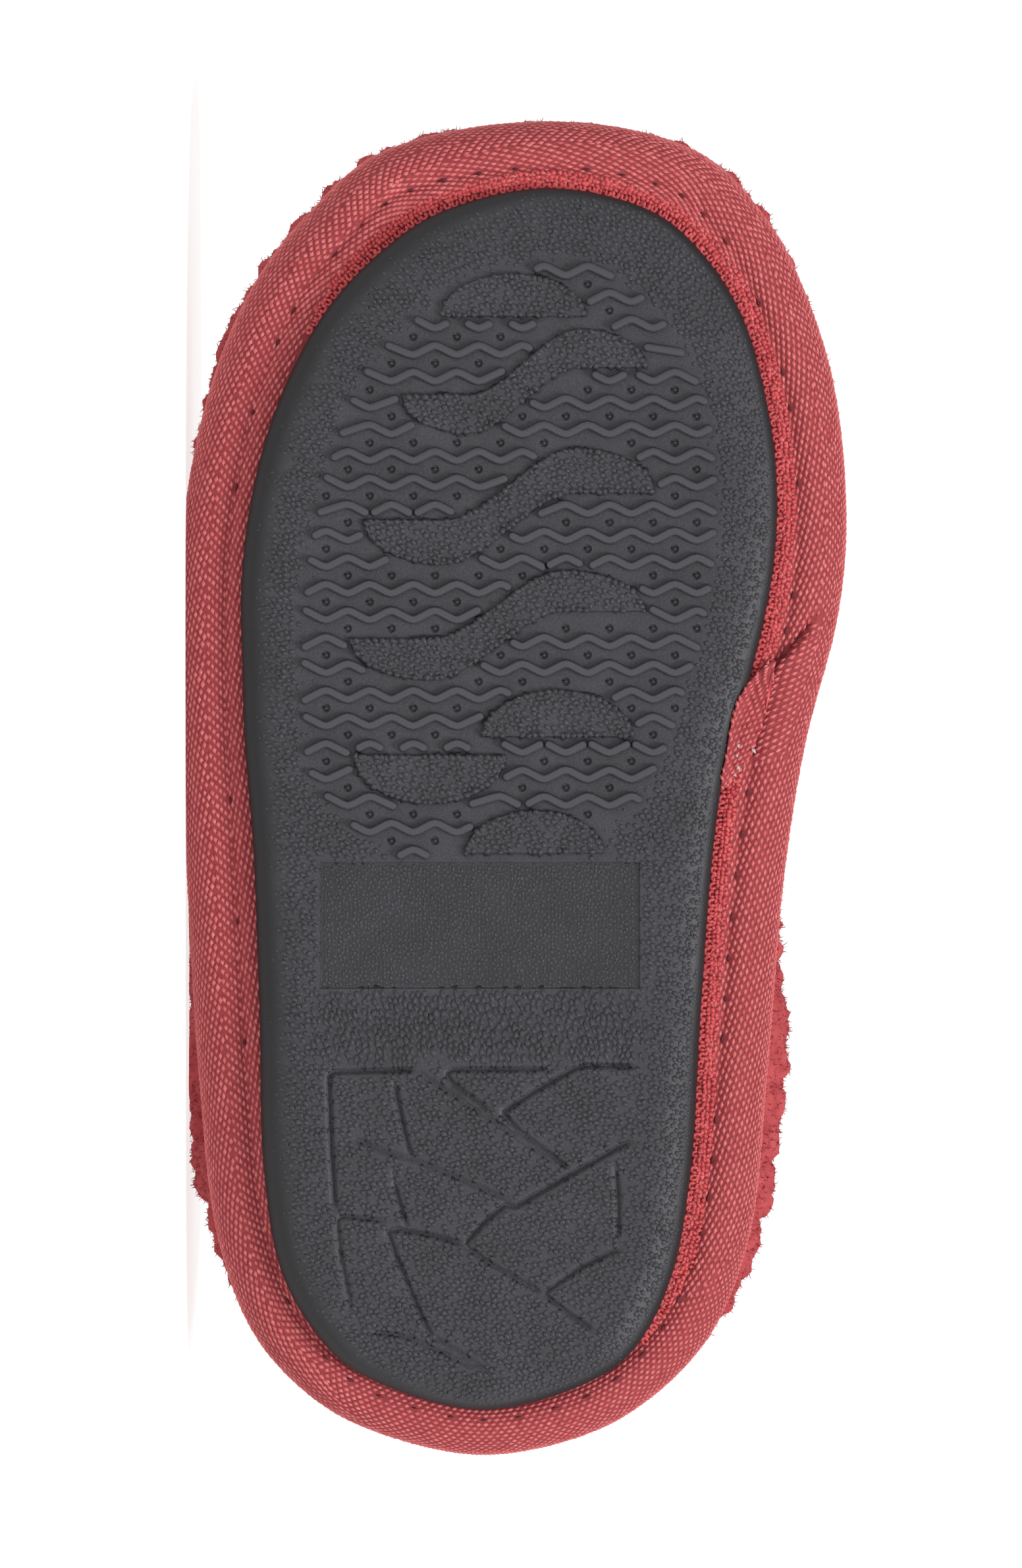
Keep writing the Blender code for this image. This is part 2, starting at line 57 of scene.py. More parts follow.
def toFrame(along, across, up):
    share = np.clip((along - last["springStart"]) / (last["springEnd"] - last["springStart"]), 0, None)
    lifted = up + last["toeSpring"] * share * share
    height = np.maximum(across + last["floorReach"], 0.0)
    return np.stack([heelX - along * mm, treadY + lifted * mm, height * mm], axis=-1)


def fromFrame(spots):  # along and across of points in the frame
    return (heelX - spots[:, 0]) / mm, spots[:, 2] / mm - last["floorReach"]


def tableValue(table, along, column=1):  # smooth curve through one column of a table
    rows = np.array(table, float)
    x, y = rows[:, 0], rows[:, column]
    before = np.maximum(np.arange(len(x)) - 1, 0)
    after = np.minimum(np.arange(len(x)) + 1, len(x) - 1)
    slopes = (y[after] - y[before]) / (x[after] - x[before])
    along = np.clip(along, x[0], x[-1])
    i = np.clip(np.searchsorted(x, along) - 1, 0, len(x) - 2)
    span = x[i + 1] - x[i]
    t = (along - x[i]) / span
    ends = slopes[i] * span * t * (1 - t) ** 2 - slopes[i + 1] * span * t * t * (1 - t)
    return y[i] + (y[i + 1] - y[i]) * t * t * (3 - 2 * t) + ends


def splineLoop(knots, steps=24):  # closed centripetal Catmull-Rom curve
    p0, p1, p2, p3 = (np.roll(knots, shift, axis=0)[:, None] for shift in (1, 0, -1, -2))
    k1 = np.sqrt(np.linalg.norm(p1 - p0, axis=2, keepdims=True))
    k2 = k1 + np.sqrt(np.linalg.norm(p2 - p1, axis=2, keepdims=True))
    k3 = k2 + np.sqrt(np.linalg.norm(p3 - p2, axis=2, keepdims=True))
    k = k1 + (k2 - k1) * (np.arange(steps) / steps)[None, :, None]
    a1 = p0 + (p1 - p0) * k / k1
    a2 = p1 + (p2 - p1) * (k - k1) / (k2 - k1)
    a3 = p2 + (p3 - p2) * (k - k2) / (k3 - k2)
    b1 = a1 + (a2 - a1) * k / k2
    b2 = a2 + (a3 - a2) * (k - k1) / (k3 - k1)
    return (b1 + (b2 - b1) * (k - k1) / (k2 - k1)).reshape(-1, knots.shape[1])


def spaced(line, count, closed=True):  # evenly spaced points on a line, and its length
    ring = np.vstack([line, line[:1]]) if closed else line
    lengths = np.concatenate([[0], np.cumsum(np.linalg.norm(np.diff(ring, axis=0), axis=1))])
    stops = np.linspace(0, lengths[-1], count + 1)[:-1] if closed else np.linspace(0, lengths[-1], count)
    return np.stack([np.interp(stops, lengths, ring[:, c]) for c in range(ring.shape[1])], 1), lengths[-1]


def footOutline(shape, count):  # heel tip, outer side, toe tip, inner side
    rows = np.array(shape["sections"])
    outer = np.stack([rows[:, 0], -rows[:, 1]], 1)
    inner = np.stack([rows[:, 0], rows[:, 2]], 1)[::-1]
    return spaced(splineLoop(np.vstack([shape["heelTip"], outer, shape["toeTip"], inner])), count)


def inwardOf(loop):
    run = np.roll(loop, -1, axis=0) - np.roll(loop, 1, axis=0)
    side = np.stack([-run[:, 1], run[:, 0]], 1)
    return side / np.linalg.norm(side, axis=1, keepdims=True)


def inset(loop, amount):
    return loop + inwardOf(loop) * np.reshape(amount, (-1, 1))


def smoothStep(low, high, value):
    t = np.clip((value - low) / (high - low), 0, 1)
    return t * t * (3 - 2 * t)


def ringFaces(rows, columns):  # quads between rings that each go all the way round
    r, c = np.meshgrid(np.arange(rows - 1), np.arange(columns), indexing="ij")
    after = (c + 1) % columns
    here, later = r * columns, (r + 1) * columns
    return np.stack([here + c, here + after, later + after, later + c], -1).reshape(-1, 4).tolist()


def closingFaces(rows, columns):  # quads from the last ring back to the first
    final = (rows - 1) * columns
    return [(final + i, final + (i + 1) % columns, (i + 1) % columns, i) for i in range(columns)]


def capFaces(loop, start):  # triangles over a flat loop whose points are numbered from start
    edges = [(i, (i + 1) % len(loop)) for i in range(len(loop))]
    spots = [Vector(p) for p in loop.tolist()]
    _, _, triangles, origins, _, _ = delaunay_2d_cdt(spots, edges, [], insideOnly, weldGap)
    return [tuple(start + origins[c][0] for c in triangle) for triangle in triangles]


def meshPiece(name, points, faces, materials, sharpDeg=None):
    mesh = bpy.data.meshes.new(name)
    mesh.from_pydata(np.asarray(points).tolist(), [], faces)
    work = bmesh.new()
    work.from_mesh(mesh)
    bmesh.ops.recalc_face_normals(work, faces=work.faces)
    work.to_mesh(mesh)
    work.free()
    mesh.shade_smooth()
    if sharpDeg:
        mesh.set_sharp_from_angle(angle=math.radians(sharpDeg))
    for material in materials:
        mesh.materials.append(material)
    piece = bpy.data.objects.new(name, mesh)
    bpy.context.scene.collection.objects.link(piece)
    return piece


def pointValues(piece, name, values, kind="FLOAT"):
    field = "value" if kind == "FLOAT" else "vector"
    attribute = piece.data.attributes.new(name, kind, "POINT")
    attribute.data.foreach_set(field, np.asarray(values, np.float32).ravel())


def addNode(tree, kind, inputs=(), **settings):
    node = tree.nodes.new(kind)
    for key, value in settings.items():
        setattr(node, key, value)
    for key, value in dict(inputs).items():
        if isinstance(value, bpy.types.NodeSocket):
            tree.links.new(value, node.inputs[key])
        else:
            node.inputs[key].default_value = value
    return node


def hexColour(code):  # sRGB to linear
    parts = [int(code[i:i + 2], 16) / 255 for i in (1, 3, 5)]
    return (*(p / 12.92 if p <= 0.04045 else ((p + 0.055) / 1.055) ** 2.4 for p in parts), 1.0)


def newMaterial(name, sockets):
    material = bpy.data.materials.new(name)
    material.use_nodes = True
    shader = material.node_tree.nodes["Principled BSDF"]
    for key, value in sockets.items():
        shader.inputs[key].default_value = value
    return material, material.node_tree, shader


# Camera, floor and light
studio = {
    "photoWidth": 1552,
    "photoHeight": 2380,
    "pixelsPerMm": 12.27,
    "heelRow": 2207,
    "axisColumn": 760,
    "lens": 250.0,
    "sensor": 36.0,
    "clipEnd": 50.0,
    "sharpUp": 10.0,  # height above the tread at which the photo's scale holds
    "floorSize": 9.0,
    "glowColour": "#fbfaf9",
    "floorGlow": 0.8,
    "boardTones": ("#9d9c9b", "#a3a2a1"),
    "mottleSize": 40.0,
    "keyFrom": (0.3, -0.58, 0.95),
    "keyStrength": 3.4,
    "keyAngleDeg": 22.0,
    "fillFrom": (-0.1, -1.0, 0.25),
    "fillStrength": 0.25,
    "fillAngleDeg": 70.0,
    "skyColour": "#ffffff",
    "skyStrength": 0.55,
    "horizonStrength": 1.15,
    "horizonDeg": 7.0,
}


def makeCamera():
    perMm = studio["pixelsPerMm"]
    along = (studio["heelRow"] - studio["photoHeight"] / 2) / perMm
    across = (studio["photoWidth"] / 2 - studio["axisColumn"]) / perMm
    away = studio["photoHeight"] / perMm * studio["lens"] / studio["sensor"]
    data = bpy.data.cameras.new("photoCamera")
    data.lens = studio["lens"]
    data.sensor_width = studio["sensor"]
    data.clip_end = studio["clipEnd"]
    camera = bpy.data.objects.new("photoCamera", data)
    up = studio["sharpUp"] - away
    spot = (heelX - along * mm, treadY + up * mm, (across + last["floorReach"]) * mm)
    turned = Matrix(((0, -1, 0), (0, 0, -1), (1, 0, 0)))  # toe at the top, inner side on the right
    camera.matrix_world = Matrix.Translation(spot) @ turned.to_4x4()
    bpy.context.scene.collection.objects.link(camera)
    bpy.context.scene.camera = camera


def makeSun(name, towards, strength, angleDeg):
    data = bpy.data.lights.new(name, "SUN")
    data.energy = strength
    data.angle = math.radians(angleDeg)
    light = bpy.data.objects.new(name, data)
    light.rotation_mode = "QUATERNION"
    light.rotation_quaternion = Vector(towards).to_track_quat("Z", "Y")
    bpy.context.scene.collection.objects.link(light)


def makeStudio():
    makeSun("keySoftbox", studio["keyFrom"], studio["keyStrength"], studio["keyAngleDeg"])
    makeSun("fillSoftbox", studio["fillFrom"], studio["fillStrength"], studio["fillAngleDeg"])
    world = bpy.data.worlds.new("studioSky")
    world.use_nodes = True
    tree = world.node_tree
    direction = addNode(tree, "ShaderNodeTexCoord").outputs["Generated"]
    height = addNode(tree, "ShaderNodeSeparateXYZ", {0: direction}).outputs["Z"]
    edge = math.sin(math.radians(studio["horizonDeg"]))
    steepness = addNode(tree, "ShaderNodeMath", {0: height}, operation="ABSOLUTE").outputs[0]
    sky = addNode(tree, "ShaderNodeMapRange", {
        "Value": steepness, "From Min": edge / 2, "From Max": edge,
        "To Min": studio["horizonStrength"], "To Max": studio["skyStrength"],
    })
    backdrop = tree.nodes["Background"]
    backdrop.inputs["Color"].default_value = hexColour(studio["skyColour"])
    tree.links.new(sky.outputs["Result"], backdrop.inputs["Strength"])
    bpy.context.scene.world = world
    bpy.context.scene.view_settings.view_transform = "Standard"
    # opal acrylic table lit a little from below: even, pale and nearly free of shadow
    board, tree, shader = newMaterial("opalAcrylic", {
        "Roughness": 0.85, "Specular IOR Level": 0.2, "Emission Color": hexColour(studio["glowColour"]),
        "Emission Strength": studio["floorGlow"],
    })
    place = addNode(tree, "ShaderNodeTexCoord").outputs["Object"]
    mottle = addNode(tree, "ShaderNodeTexNoise", {
        "Vector": place, "Scale": 1 / (studio["mottleSize"] * mm), "Detail": 3.0,
    })
    first, second = studio["boardTones"]
    tone = addNode(tree, "ShaderNodeMix", {
        "Factor": mottle.outputs["Fac"], 6: hexColour(first), 7: hexColour(second),
    }, data_type="RGBA")
    tree.links.new(tone.outputs[2], shader.inputs["Base Color"])
    half = studio["floorSize"] / 2
    corners = [(-half, -half, 0.0), (half, -half, 0.0), (half, half, 0.0), (-half, half, 0.0)]
    floor = meshPiece("studioFloor", corners, [(0, 1, 2, 3)], [board])


makeCamera()
makeStudio()
print("camera, floor and light")


# Materials
rubberLook = {
    "ribPitch": 0.45 * mm,
    "ribShare": 0.35,  # height of the ribs beside that of the grit
    "waveLength": math.pi / 10,  # one band of the wave texture at scale 1
    "gritSize": 0.25 * mm,  # coarser than an etched mould leaves it, so that it shows
    "dustSize": 7 * mm,
    "dustShare": 0.5,
    "dustRange": (0.5, 1.0),  # dust and grit together, from the dark tone to the grey one
    "bumpStrength": 0.8,
    "bumpHeight": 0.09 * mm,
    "dark": "#2b2b2e",
    "grey": "#3d3d42",
    # darkest tone: painted shade on the bare rim strip beside the tape, also used to darken the size plate
    "shadeTone": "#151517",
    "roughness": (0.42, 0.62),
}
yarnLook = {
    "toneRange": (0.3, 0.7),
    "fibreSize": 0.12 * mm,  # real fibres are too fine to show, so these are coarser
    "bumpStrength": 0.5,
    "bumpHeight": 0.1 * mm,
}
yarns = {  # dark tone, light tone, roughness, sheen, size in mm of the patches of tone
    "twillYarn": ("#af494c", "#cc6d6e", 0.55, 0.25, 1.1),  # raised threads of the tape: the palest red
    "twillGround": ("#7c2c31", "#903a3e", 0.85, 0.1, 0.8),  # cloth between them, painted darker for the shade in the gaps
    "selvedgeYarn": ("#a93a3f", "#c75356", 0.6, 0.2, 1.0),  # plump loops beside the rubber
    "stitchThread": ("#3c181c", "#5e2127", 0.7, 0.05, 0.6),  # sewing thread, painted dark for the shade of the stitch holes: short dark dashes
    "shearlingFleece": ("#923338", "#aa484b", 0.95, 0.55, 2.2),  # outer curls: dull, with a soft pale rim
    "liningFleece": ("#a02c33", "#bd4247", 0.95, 0.5, 1.8),  # lining and footbed: a brighter red
}


def rubberMaterial():
    # black rubber moulded against an etched steel mould: satin, finely gritty, greyer where dust lies, with
    # painted shade on the bare rim strip beside the tape and a painted highlight on the tread's raised tops
    look = rubberLook
    material, tree, shader = newMaterial("mouldedRubber", {"IOR": 1.5, "Specular IOR Level": 0.28})
    place = addNode(tree, "ShaderNodeTexCoord").outputs["Object"]
    rib, clean, worn = (
        addNode(tree, "ShaderNodeAttribute", attribute_name=name).outputs["Fac"]
        for name in ("rib", "clean", "worn"))
    grit = addNode(tree, "ShaderNodeTexNoise", {
        "Vector": place, "Scale": 1 / look["gritSize"], "Detail": 2.0,
    }).outputs["Fac"]
    ribs = addNode(tree, "ShaderNodeTexWave", {
        "Vector": place, "Scale": look["waveLength"] / look["ribPitch"], "Distortion": 0.8,
        "Detail": 1.0, "Detail Scale": 0.4,
    }, wave_type="BANDS", bands_direction="Z")
    ribHeight = addNode(tree, "ShaderNodeMath", {0: ribs.outputs["Fac"], 1: rib}, operation="MULTIPLY")
    height = addNode(tree, "ShaderNodeMath", {
        0: ribHeight.outputs[0], 1: look["ribShare"], 2: grit,
    }, operation="MULTIPLY_ADD")
    bump = addNode(tree, "ShaderNodeBump", {
        "Height": height.outputs[0], "Strength": look["bumpStrength"], "Distance": look["bumpHeight"],
    })
    tree.links.new(bump.outputs[0], shader.inputs["Normal"])
    dust = addNode(tree, "ShaderNodeTexNoise", {
        "Vector": place, "Scale": 1 / look["dustSize"], "Detail": 4.0,
    })
    dusty = addNode(tree, "ShaderNodeMath", {
        0: dust.outputs["Fac"], 1: look["dustShare"], 2: grit,
    }, operation="MULTIPLY_ADD")
    tone = addNode(tree, "ShaderNodeMapRange", {
        "Value": dusty.outputs[0], "From Min": look["dustRange"][0], "From Max": look["dustRange"][1],
    }).outputs[0]
    colour = hexColour(look["dark"])
    # dust greys the dark tone; the darkest tone paints shade on the rim strip and darkens the size plate;
    # grey again paints a highlight on the tread tops
    for share, over in ((tone, "grey"), (clean, "shadeTone"), (worn, "grey")):
        colour = addNode(tree, "ShaderNodeMix", {
            "Factor": share, 6: colour, 7: hexColour(look[over]),
        }, data_type="RGBA").outputs[2]
    tree.links.new(colour, shader.inputs["Base Color"])
    gloss = addNode(tree, "ShaderNodeMapRange", {
        "Value": grit, "To Min": look["roughness"][0], "To Max": look["roughness"][1],
    })
    tree.links.new(gloss.outputs[0], shader.inputs["Roughness"])
    return material


def yarnMaterial(name, dark, light, roughness, sheen, patchSize):
    # spun dyed yarn: matt, with a pale rim of loose fibre and a tone that drifts from thread to thread
    material, tree, shader = newMaterial(name, {
        "Roughness": roughness, "Specular IOR Level": 0.3, "Sheen Weight": sheen, "Sheen Roughness": 0.45,
        "Sheen Tint": hexColour(light),
    })
    place = addNode(tree, "ShaderNodeTexCoord").outputs["Object"]
    patches = addNode(tree, "ShaderNodeTexNoise", {
        "Vector": place, "Scale": 1 / (patchSize * mm), "Detail": 3.0,
    })
    low, high = yarnLook["toneRange"]
    shade = addNode(tree, "ShaderNodeMapRange", {
        "Value": patches.outputs["Fac"], "From Min": low, "From Max": high,
    })
    tone = addNode(tree, "ShaderNodeMix", {
        "Factor": shade.outputs[0], 6: hexColour(dark), 7: hexColour(light),
    }, data_type="RGBA")
    tree.links.new(tone.outputs[2], shader.inputs["Base Color"])
    fibre = addNode(tree, "ShaderNodeTexNoise", {
        "Vector": place, "Scale": 1 / yarnLook["fibreSize"], "Detail": 2.0,
    })
    bump = addNode(tree, "ShaderNodeBump", {
        "Height": fibre.outputs["Fac"], "Strength": yarnLook["bumpStrength"],
        "Distance": yarnLook["bumpHeight"],
    })
    tree.links.new(bump.outputs[0], shader.inputs["Normal"])
    return material


rubber = rubberMaterial()
twillYarn, twillGround, selvedgeYarn, stitchThread, shearlingFleece, liningFleece = (
    yarnMaterial(name, *look) for name, look in yarns.items())
# dried clear glue: pale glints on the rubber beside the lap
clearGlue = newMaterial("clearGlue", {
    "Base Color": hexColour("#d8d4d2"), "Roughness": 0.18, "Transmission Weight": 0.5, "IOR": 1.47,
})[0]
print("materials")


# Outsole: moulded tray with a rolled rim and the fine tread
sole = {
    "heelTip": (5.8, -2.0),
    "toeTip": (156.4, 6.1),
    "sections": (  # along, distance to the outer edge, distance to the inner edge
        (10.3, 17.4, 13.0), (14.4, 22.1, 17.3), (22.6, 26.9, 21.2), (34.8, 29.1, 23.4), (55.0, 29.7, 24.7),
        (75.6, 30.5, 26.3), (87.8, 31.5, 28.2), (97.0, 31.8, 31.0), (108.0, 31.9, 33.4), (118.0, 30.7, 34.1),
        (128.5, 27.9, 33.1), (140.8, 21.8, 29.7), (148.9, 14.3, 24.4), (153.6, 7.0, 18.6),
    ),
    "points": 320,
    "treadDepth": 0.8,
    "wall": 2.4,
    "rimRise": 3.2,
    "rimWidths": ((5.0, 3.6), (30.0, 5.4), (80.0, 6.3), (125.0, 6.6), (157.0, 8.0)),
    "rimRings": 14,
    "bareRim": (2.3, 0.8),  # strip next to the tape that has no pebbles, on the outer and the inner side
    "innerEnds": (-12.0, 12.0),  # across: the strip goes from one width to the other
    "heelShift": 16.0,  # and does so nearer to the outer side round the heel
    "heelShiftEnds": (60.0, 20.0),
    "pebbleFade": (0.5, 1.7),  # in widths of the strip
    "rimShade": 0.9,  # how far the strip beside the tape is darkened as painted shade where the rim rolls into the tape, and how far the size plate is darkened
    "plateDark": 0.45,
    "highlightHeights": (0.55, 0.78),  # the tread's raised tops are painted lighter grey from these heights on, a painted highlight
    "lipHeight": 0.8,
    "lipWidth": 1.6,
    "trayInset": 3.4,
    "sharpDeg": 42.0,
}
tread = {
    "rows": 23,
    "rowPitch": 3.26,
    "firstRow": 146.0,
    "halfPeriod": 2.68,
    "swing": 0.7,
    "barSteps": ((0.6, 0.0), (0.54, 0.34), (0.46, 0.64), (0.34, 0.77)),  # half width, height
    "barRidge": 0.8,
    "capDeg": (54.0, 18.0, -18.0, -54.0),  # points of a bar's round end
    "cornerReach": 0.6,
    "largestCurve": 0.45,  # share of a side that the curve at its corner may take
    "sharpestCorner": 0.5,
    "clearance": 0.84,
    "shortestBar": 2.4,
    "probe": 0.1,
    "probeReach": 1.5,  # a bar goes on while no probe is missing
    "cornerMargin": 0.75,
    "field": (  # along, outer limit, inner limit
        (73.0, -11.5, 9.0), (77.0, -17.4, 14.0), (83.0, -22.7, 18.3), (90.0, -23.8, 20.9),
        (99.5, -24.0, 24.0), (109.0, -23.4, 25.8), (119.0, -21.5, 26.2), (129.0, -18.3, 25.2),
        (135.6, -14.3, 22.6), (142.4, -6.0, 17.6), (147.0, 4.0, 12.4),
    ),
    "fieldMargin": 1.4,
    "besideField": (71.0, 149.0, 1.5),  # along: start, end and step of the pebbles beside the field
    "besideRoom": (0.5, 0.8),  # their distance from islands and from bars
    "islandSteps": 26,
    "islandShoulder": 1.6,
    "islandCrestAt": 0.45,
    "islandEdge": (  # inset, height, pebbles
        (0.0, 0.0, 0.0), (0.08, 0.34, 1.0), (0.22, 0.5, 1.0), (0.5, 0.5, 1.0),
    ),
    "sIslands": (  # along, across, half length, rise
        (132.4, 2.9, 15.2, 6.5), (117.0, 1.1, 18.1, 7.2), (102.4, -0.4, 18.3, 6.8),
    ),
    "halfLenses": (  # the same
        (140.3, 1.6, 9.0, 5.4), (88.6, 7.0, 9.4, 5.9), (86.5, -8.7, 9.4, -6.1), (74.3, 4.2, 8.6, 5.4),
    ),
    "holeSteps": ((0.56, 0.0), (0.44, -0.2), (0.26, -0.26), (0.18, 0.16)),  # pin in a dimple: radius, height
    "pinTip": 0.3,
    "holeSides": 10,
    "holeClearance": 1.0,
    "holeBarRoom": 1.2,
    "holesAside": 12,  # holes tried on each side of the axis
    "sizePlate": ((57.7, -22.3), (73.3, -22.3), (73.3, 17.2), (57.7, 17.2)),
    "plateEdge": ((0.0, 0.0, 0.0), (0.16, -0.25, 0.0), (0.5, -0.25, 1.0)),  # inset, height, ribs
    "plateSteps": 16,
    "plateMargin": 0.35,  # the grain starts this far from the plate
    "heelCreases": (  # depth, half width, then the line: along, across
        (0.52, 0.56, ((47.8, -10.6), (47.5, -20.6), (47.0, -21.1), (38.8, -20.8), (30.8, -20.3))),
        (0.4, 0.55, ((18.9, -18.4), (24.6, -19.6), (29.4, -20.1), (29.8, -19.4), (29.3, -14.2))),
        (0.52, 0.56, ((45.9, -13.0), (39.7, -11.7), (36.8, -10.8))),
        (0.48, 0.54, ((47.9, 5.5), (47.8, -6.0), (47.2, -6.7), (46.1, -5.8), (42.8, -1.4))),
        (0.34, 0.58, ((47.5, -10.0), (46.4, -8.4), (41.9, -1.4), (36.7, 6.2))),
        (0.52, 0.56, (
            (48.2, 16.2), (48.3, 10.5), (48.0, 9.3), (45.2, 4.3), (42.5, 0.2), (40.2, 2.4), (35.9, 8.1),
        )),
        (0.54, 0.58, (
            (26.4, -4.4), (29.3, -1.8), (31.2, 0.6), (31.0, 1.9), (35.2, 9.1), (38.7, 15.3), (38.8, 16.0),
        )),
        (0.34, 0.58, ((39.3, -17.9), (37.6, -13.7), (36.7, -10.3), (34.1, -4.2), (31.7, 1.3))),
        (0.48, 0.54, ((33.9, -13.1), (30.8, -12.2), (28.7, -11.5))),
        (0.48, 0.54, (
            (14.9, -8.4), (18.0, -9.9), (24.6, -12.7), (27.8, -13.8),
            (28.3, -12.9), (27.4, -8.0), (26.4, -4.6),
        )),
        (0.4, 0.55, ((26.2, -4.4), (24.1, -1.4), (20.4, 5.1))),
        (0.48, 0.54, ((25.8, 14.6), (23.6, 10.0), (20.3, 5.3), (17.7, 8.6), (15.8, 11.4))),
        (0.48, 0.54, ((35.3, 14.2), (31.7, 14.5), (27.4, 14.5))),
        (0.34, 0.55, ((15.1, -8.2), (13.2, -5.1), (10.9, -1.8))),
        (0.34, 0.55, ((15.6, -15.6), (15.1, -11.8), (13.7, -8.5), (11.3, -3.2))),
    ),
    "creaseOffsets": (-0.85, -0.56, -0.36, -0.17, 0.0, 0.17, 0.36, 0.56, 0.85),
    "creaseStep": 0.5,
    "creaseCorner": 0.5,
    "creaseTaper": 0.6,
    "creaseLead": 0.3,  # how far on the taper is where a crease starts
    "creaseRoom": 1.6,  # pebbles keep clear of a strip this many times as wide
    "creaseBare": (0.04, 0.3),  # depths between which the pebbles end
    "creaseRimRoom": 0.25,
    "rimProbes": 240,
    "barkFrom": (48.0, 48.8),
    "heelGround": 0.78,  # how far the ground under the heel comes up
    "heelGroundEnds": (49.5, 56.5),
    "waistRows": (50.0, 51.5, 53.5, 55.0, 56.8),
    "waistSpan": (-23.5, 19.0, 2.5),  # across: start, end and step
}


def sIsland(along, across, reach, crest):
    shoulder, crestAt = tread["islandShoulder"], tread["islandCrestAt"]
    t = np.linspace(-1, 1, 2 * tread["islandSteps"] + 1)
    ease = np.clip((t + crestAt) / (2 * crestAt), 0, 1)
    climb = -shoulder + (crest + shoulder) * ease * ease * (3 - 2 * ease)
    fall = np.clip((t - crestAt) / (1 - crestAt), 0, 1)
    rise = np.where(t < crestAt, climb, shoulder + (crest - shoulder) * np.sqrt(1 - fall * fall))
    edge = np.stack([rise, t * reach], 1)
    return np.array((along, across)) + np.vstack([edge[:-1], -edge[:-1]])


def halfLens(along, across, reach, rise):
    turn = np.linspace(0, math.pi, tread["islandSteps"] + 1)
    return np.stack([along + rise * np.sin(turn), across - reach * np.cos(turn)], 1)


def shrunk(loop, amount):
    before = loop - np.roll(loop, 1, axis=0)
    after = np.roll(loop, -1, axis=0) - loop
    before = before / np.linalg.norm(before, axis=1, keepdims=True)
    after = after / np.linalg.norm(after, axis=1, keepdims=True)
    left = np.stack([-before[:, 1] - after[:, 1], before[:, 0] + after[:, 0]], 1)
    left = left / np.linalg.norm(left, axis=1, keepdims=True)
    lean = left[:, 1] * after[:, 0] - left[:, 0] * after[:, 1]
    reach = amount / np.maximum(lean, tread["sharpestCorner"])
    turn = np.sign(np.sum(loop[:, 0] * np.roll(loop[:, 1], -1) - np.roll(loop[:, 0], -1) * loop[:, 1]))
    return loop + left * (reach * turn)[:, None]


def eased(path, reach, closed):  # corners of a path turned into short curves
    points = []
    count = len(path)
    for i in range(count):
        if not closed and i in (0, count - 1):
            points.append(path[i])
            continue
        before, corner, after = path[i - 1], path[i], path[(i + 1) % count]
        inLength, outLength = np.linalg.norm(corner - before), np.linalg.norm(after - corner)
        start = corner + (before - corner) * min(reach / inLength, tread["largestCurve"])
        end = corner + (after - corner) * min(reach / outLength, tread["largestCurve"])
        for t in (0.0, 0.5, 1.0):
            points.append(start * (1 - t) ** 2 + corner * 2 * t * (1 - t) + end * t * t)
    return np.array(points)


def barOutline(path, half):  # outline at a distance from a path, with round ends
    run = np.gradient(path, axis=0)
    run = run / np.linalg.norm(run, axis=1, keepdims=True)
    left = np.stack([-run[:, 1], run[:, 0]], 1)
    turns = np.radians(tread["capDeg"])[:, None]
    endCap = path[-1] + half * (run[-1] * np.cos(turns) + left[-1] * np.sin(turns))
    startCap = path[0] - half * (run[0] * np.cos(turns) + left[0] * np.sin(turns))
    return np.vstack([path + left * half, endCap, (path - left * half)[::-1], startCap])


def insideLoop(loop, spot):
    a, b = loop, np.roll(loop, -1, axis=0)
    crosses = (a[:, 1] > spot[1]) != (b[:, 1] > spot[1])
    rise = np.where(b[:, 1] == a[:, 1], 1.0, b[:, 1] - a[:, 1])
    meet = a[:, 0] + (b[:, 0] - a[:, 0]) * (spot[1] - a[:, 1]) / rise
    return np.count_nonzero(crosses & (spot[0] < meet)) % 2 == 1


def distanceTo(loop, spot):
    a, b = loop, np.roll(loop, -1, axis=0)
    share = np.clip(np.sum((spot - a) * (b - a), axis=1) / np.sum((b - a) ** 2, axis=1), 0, 1)
    return np.min(np.linalg.norm(a + (b - a) * share[:, None] - spot, axis=1))


def isClear(spot, loops, room):
    return not any(insideLoop(loop, spot) or distanceTo(loop, spot) < room for loop in loops)


def rowAlong(row):
    return tread["firstRow"] - row * tread["rowPitch"]


def fieldLimits(along):  # across, where the zigzag field ends on the outer and the inner side
    return [float(tableValue(tread["field"], along, column)) for column in (1, 2)]


def zigzagAt(row, across):
    turns = across / tread["halfPeriod"] + row
    swing = tread["swing"] * (1 - 2 * (turns - math.floor(turns)))
    return np.array((rowAlong(row) + (-swing if math.floor(turns) % 2 else swing), across))


def zigzagBars(row, obstacles):
    runs = []
    for across in np.arange(*fieldLimits(rowAlong(row)), tread["probe"]):
        if not isClear(zigzagAt(row, across), obstacles, tread["clearance"]):
            continue
        if runs and runs[-1][1] > across - tread["probeReach"] * tread["probe"]:
            runs[-1][1] = across
        else:
            runs.append([across, across])
    bars = []
    period, margin = tread["halfPeriod"], tread["cornerMargin"]
    for start, end in runs:
        if end - start < tread["shortestBar"]:
            continue
        turns = [c * period for c in range(math.ceil(start / period), math.floor(end / period) + 1)]
        turns = [c for c in turns if start + margin < c < end - margin]
        bars.append(np.array([zigzagAt(row, across) for across in (start, *turns, end)]))
    return bars


def groundHeight(along):
    ends = tread["heelGroundEnds"]
    return tread["heelGround"] * (1 - smoothStep(ends[0], ends[1], along))


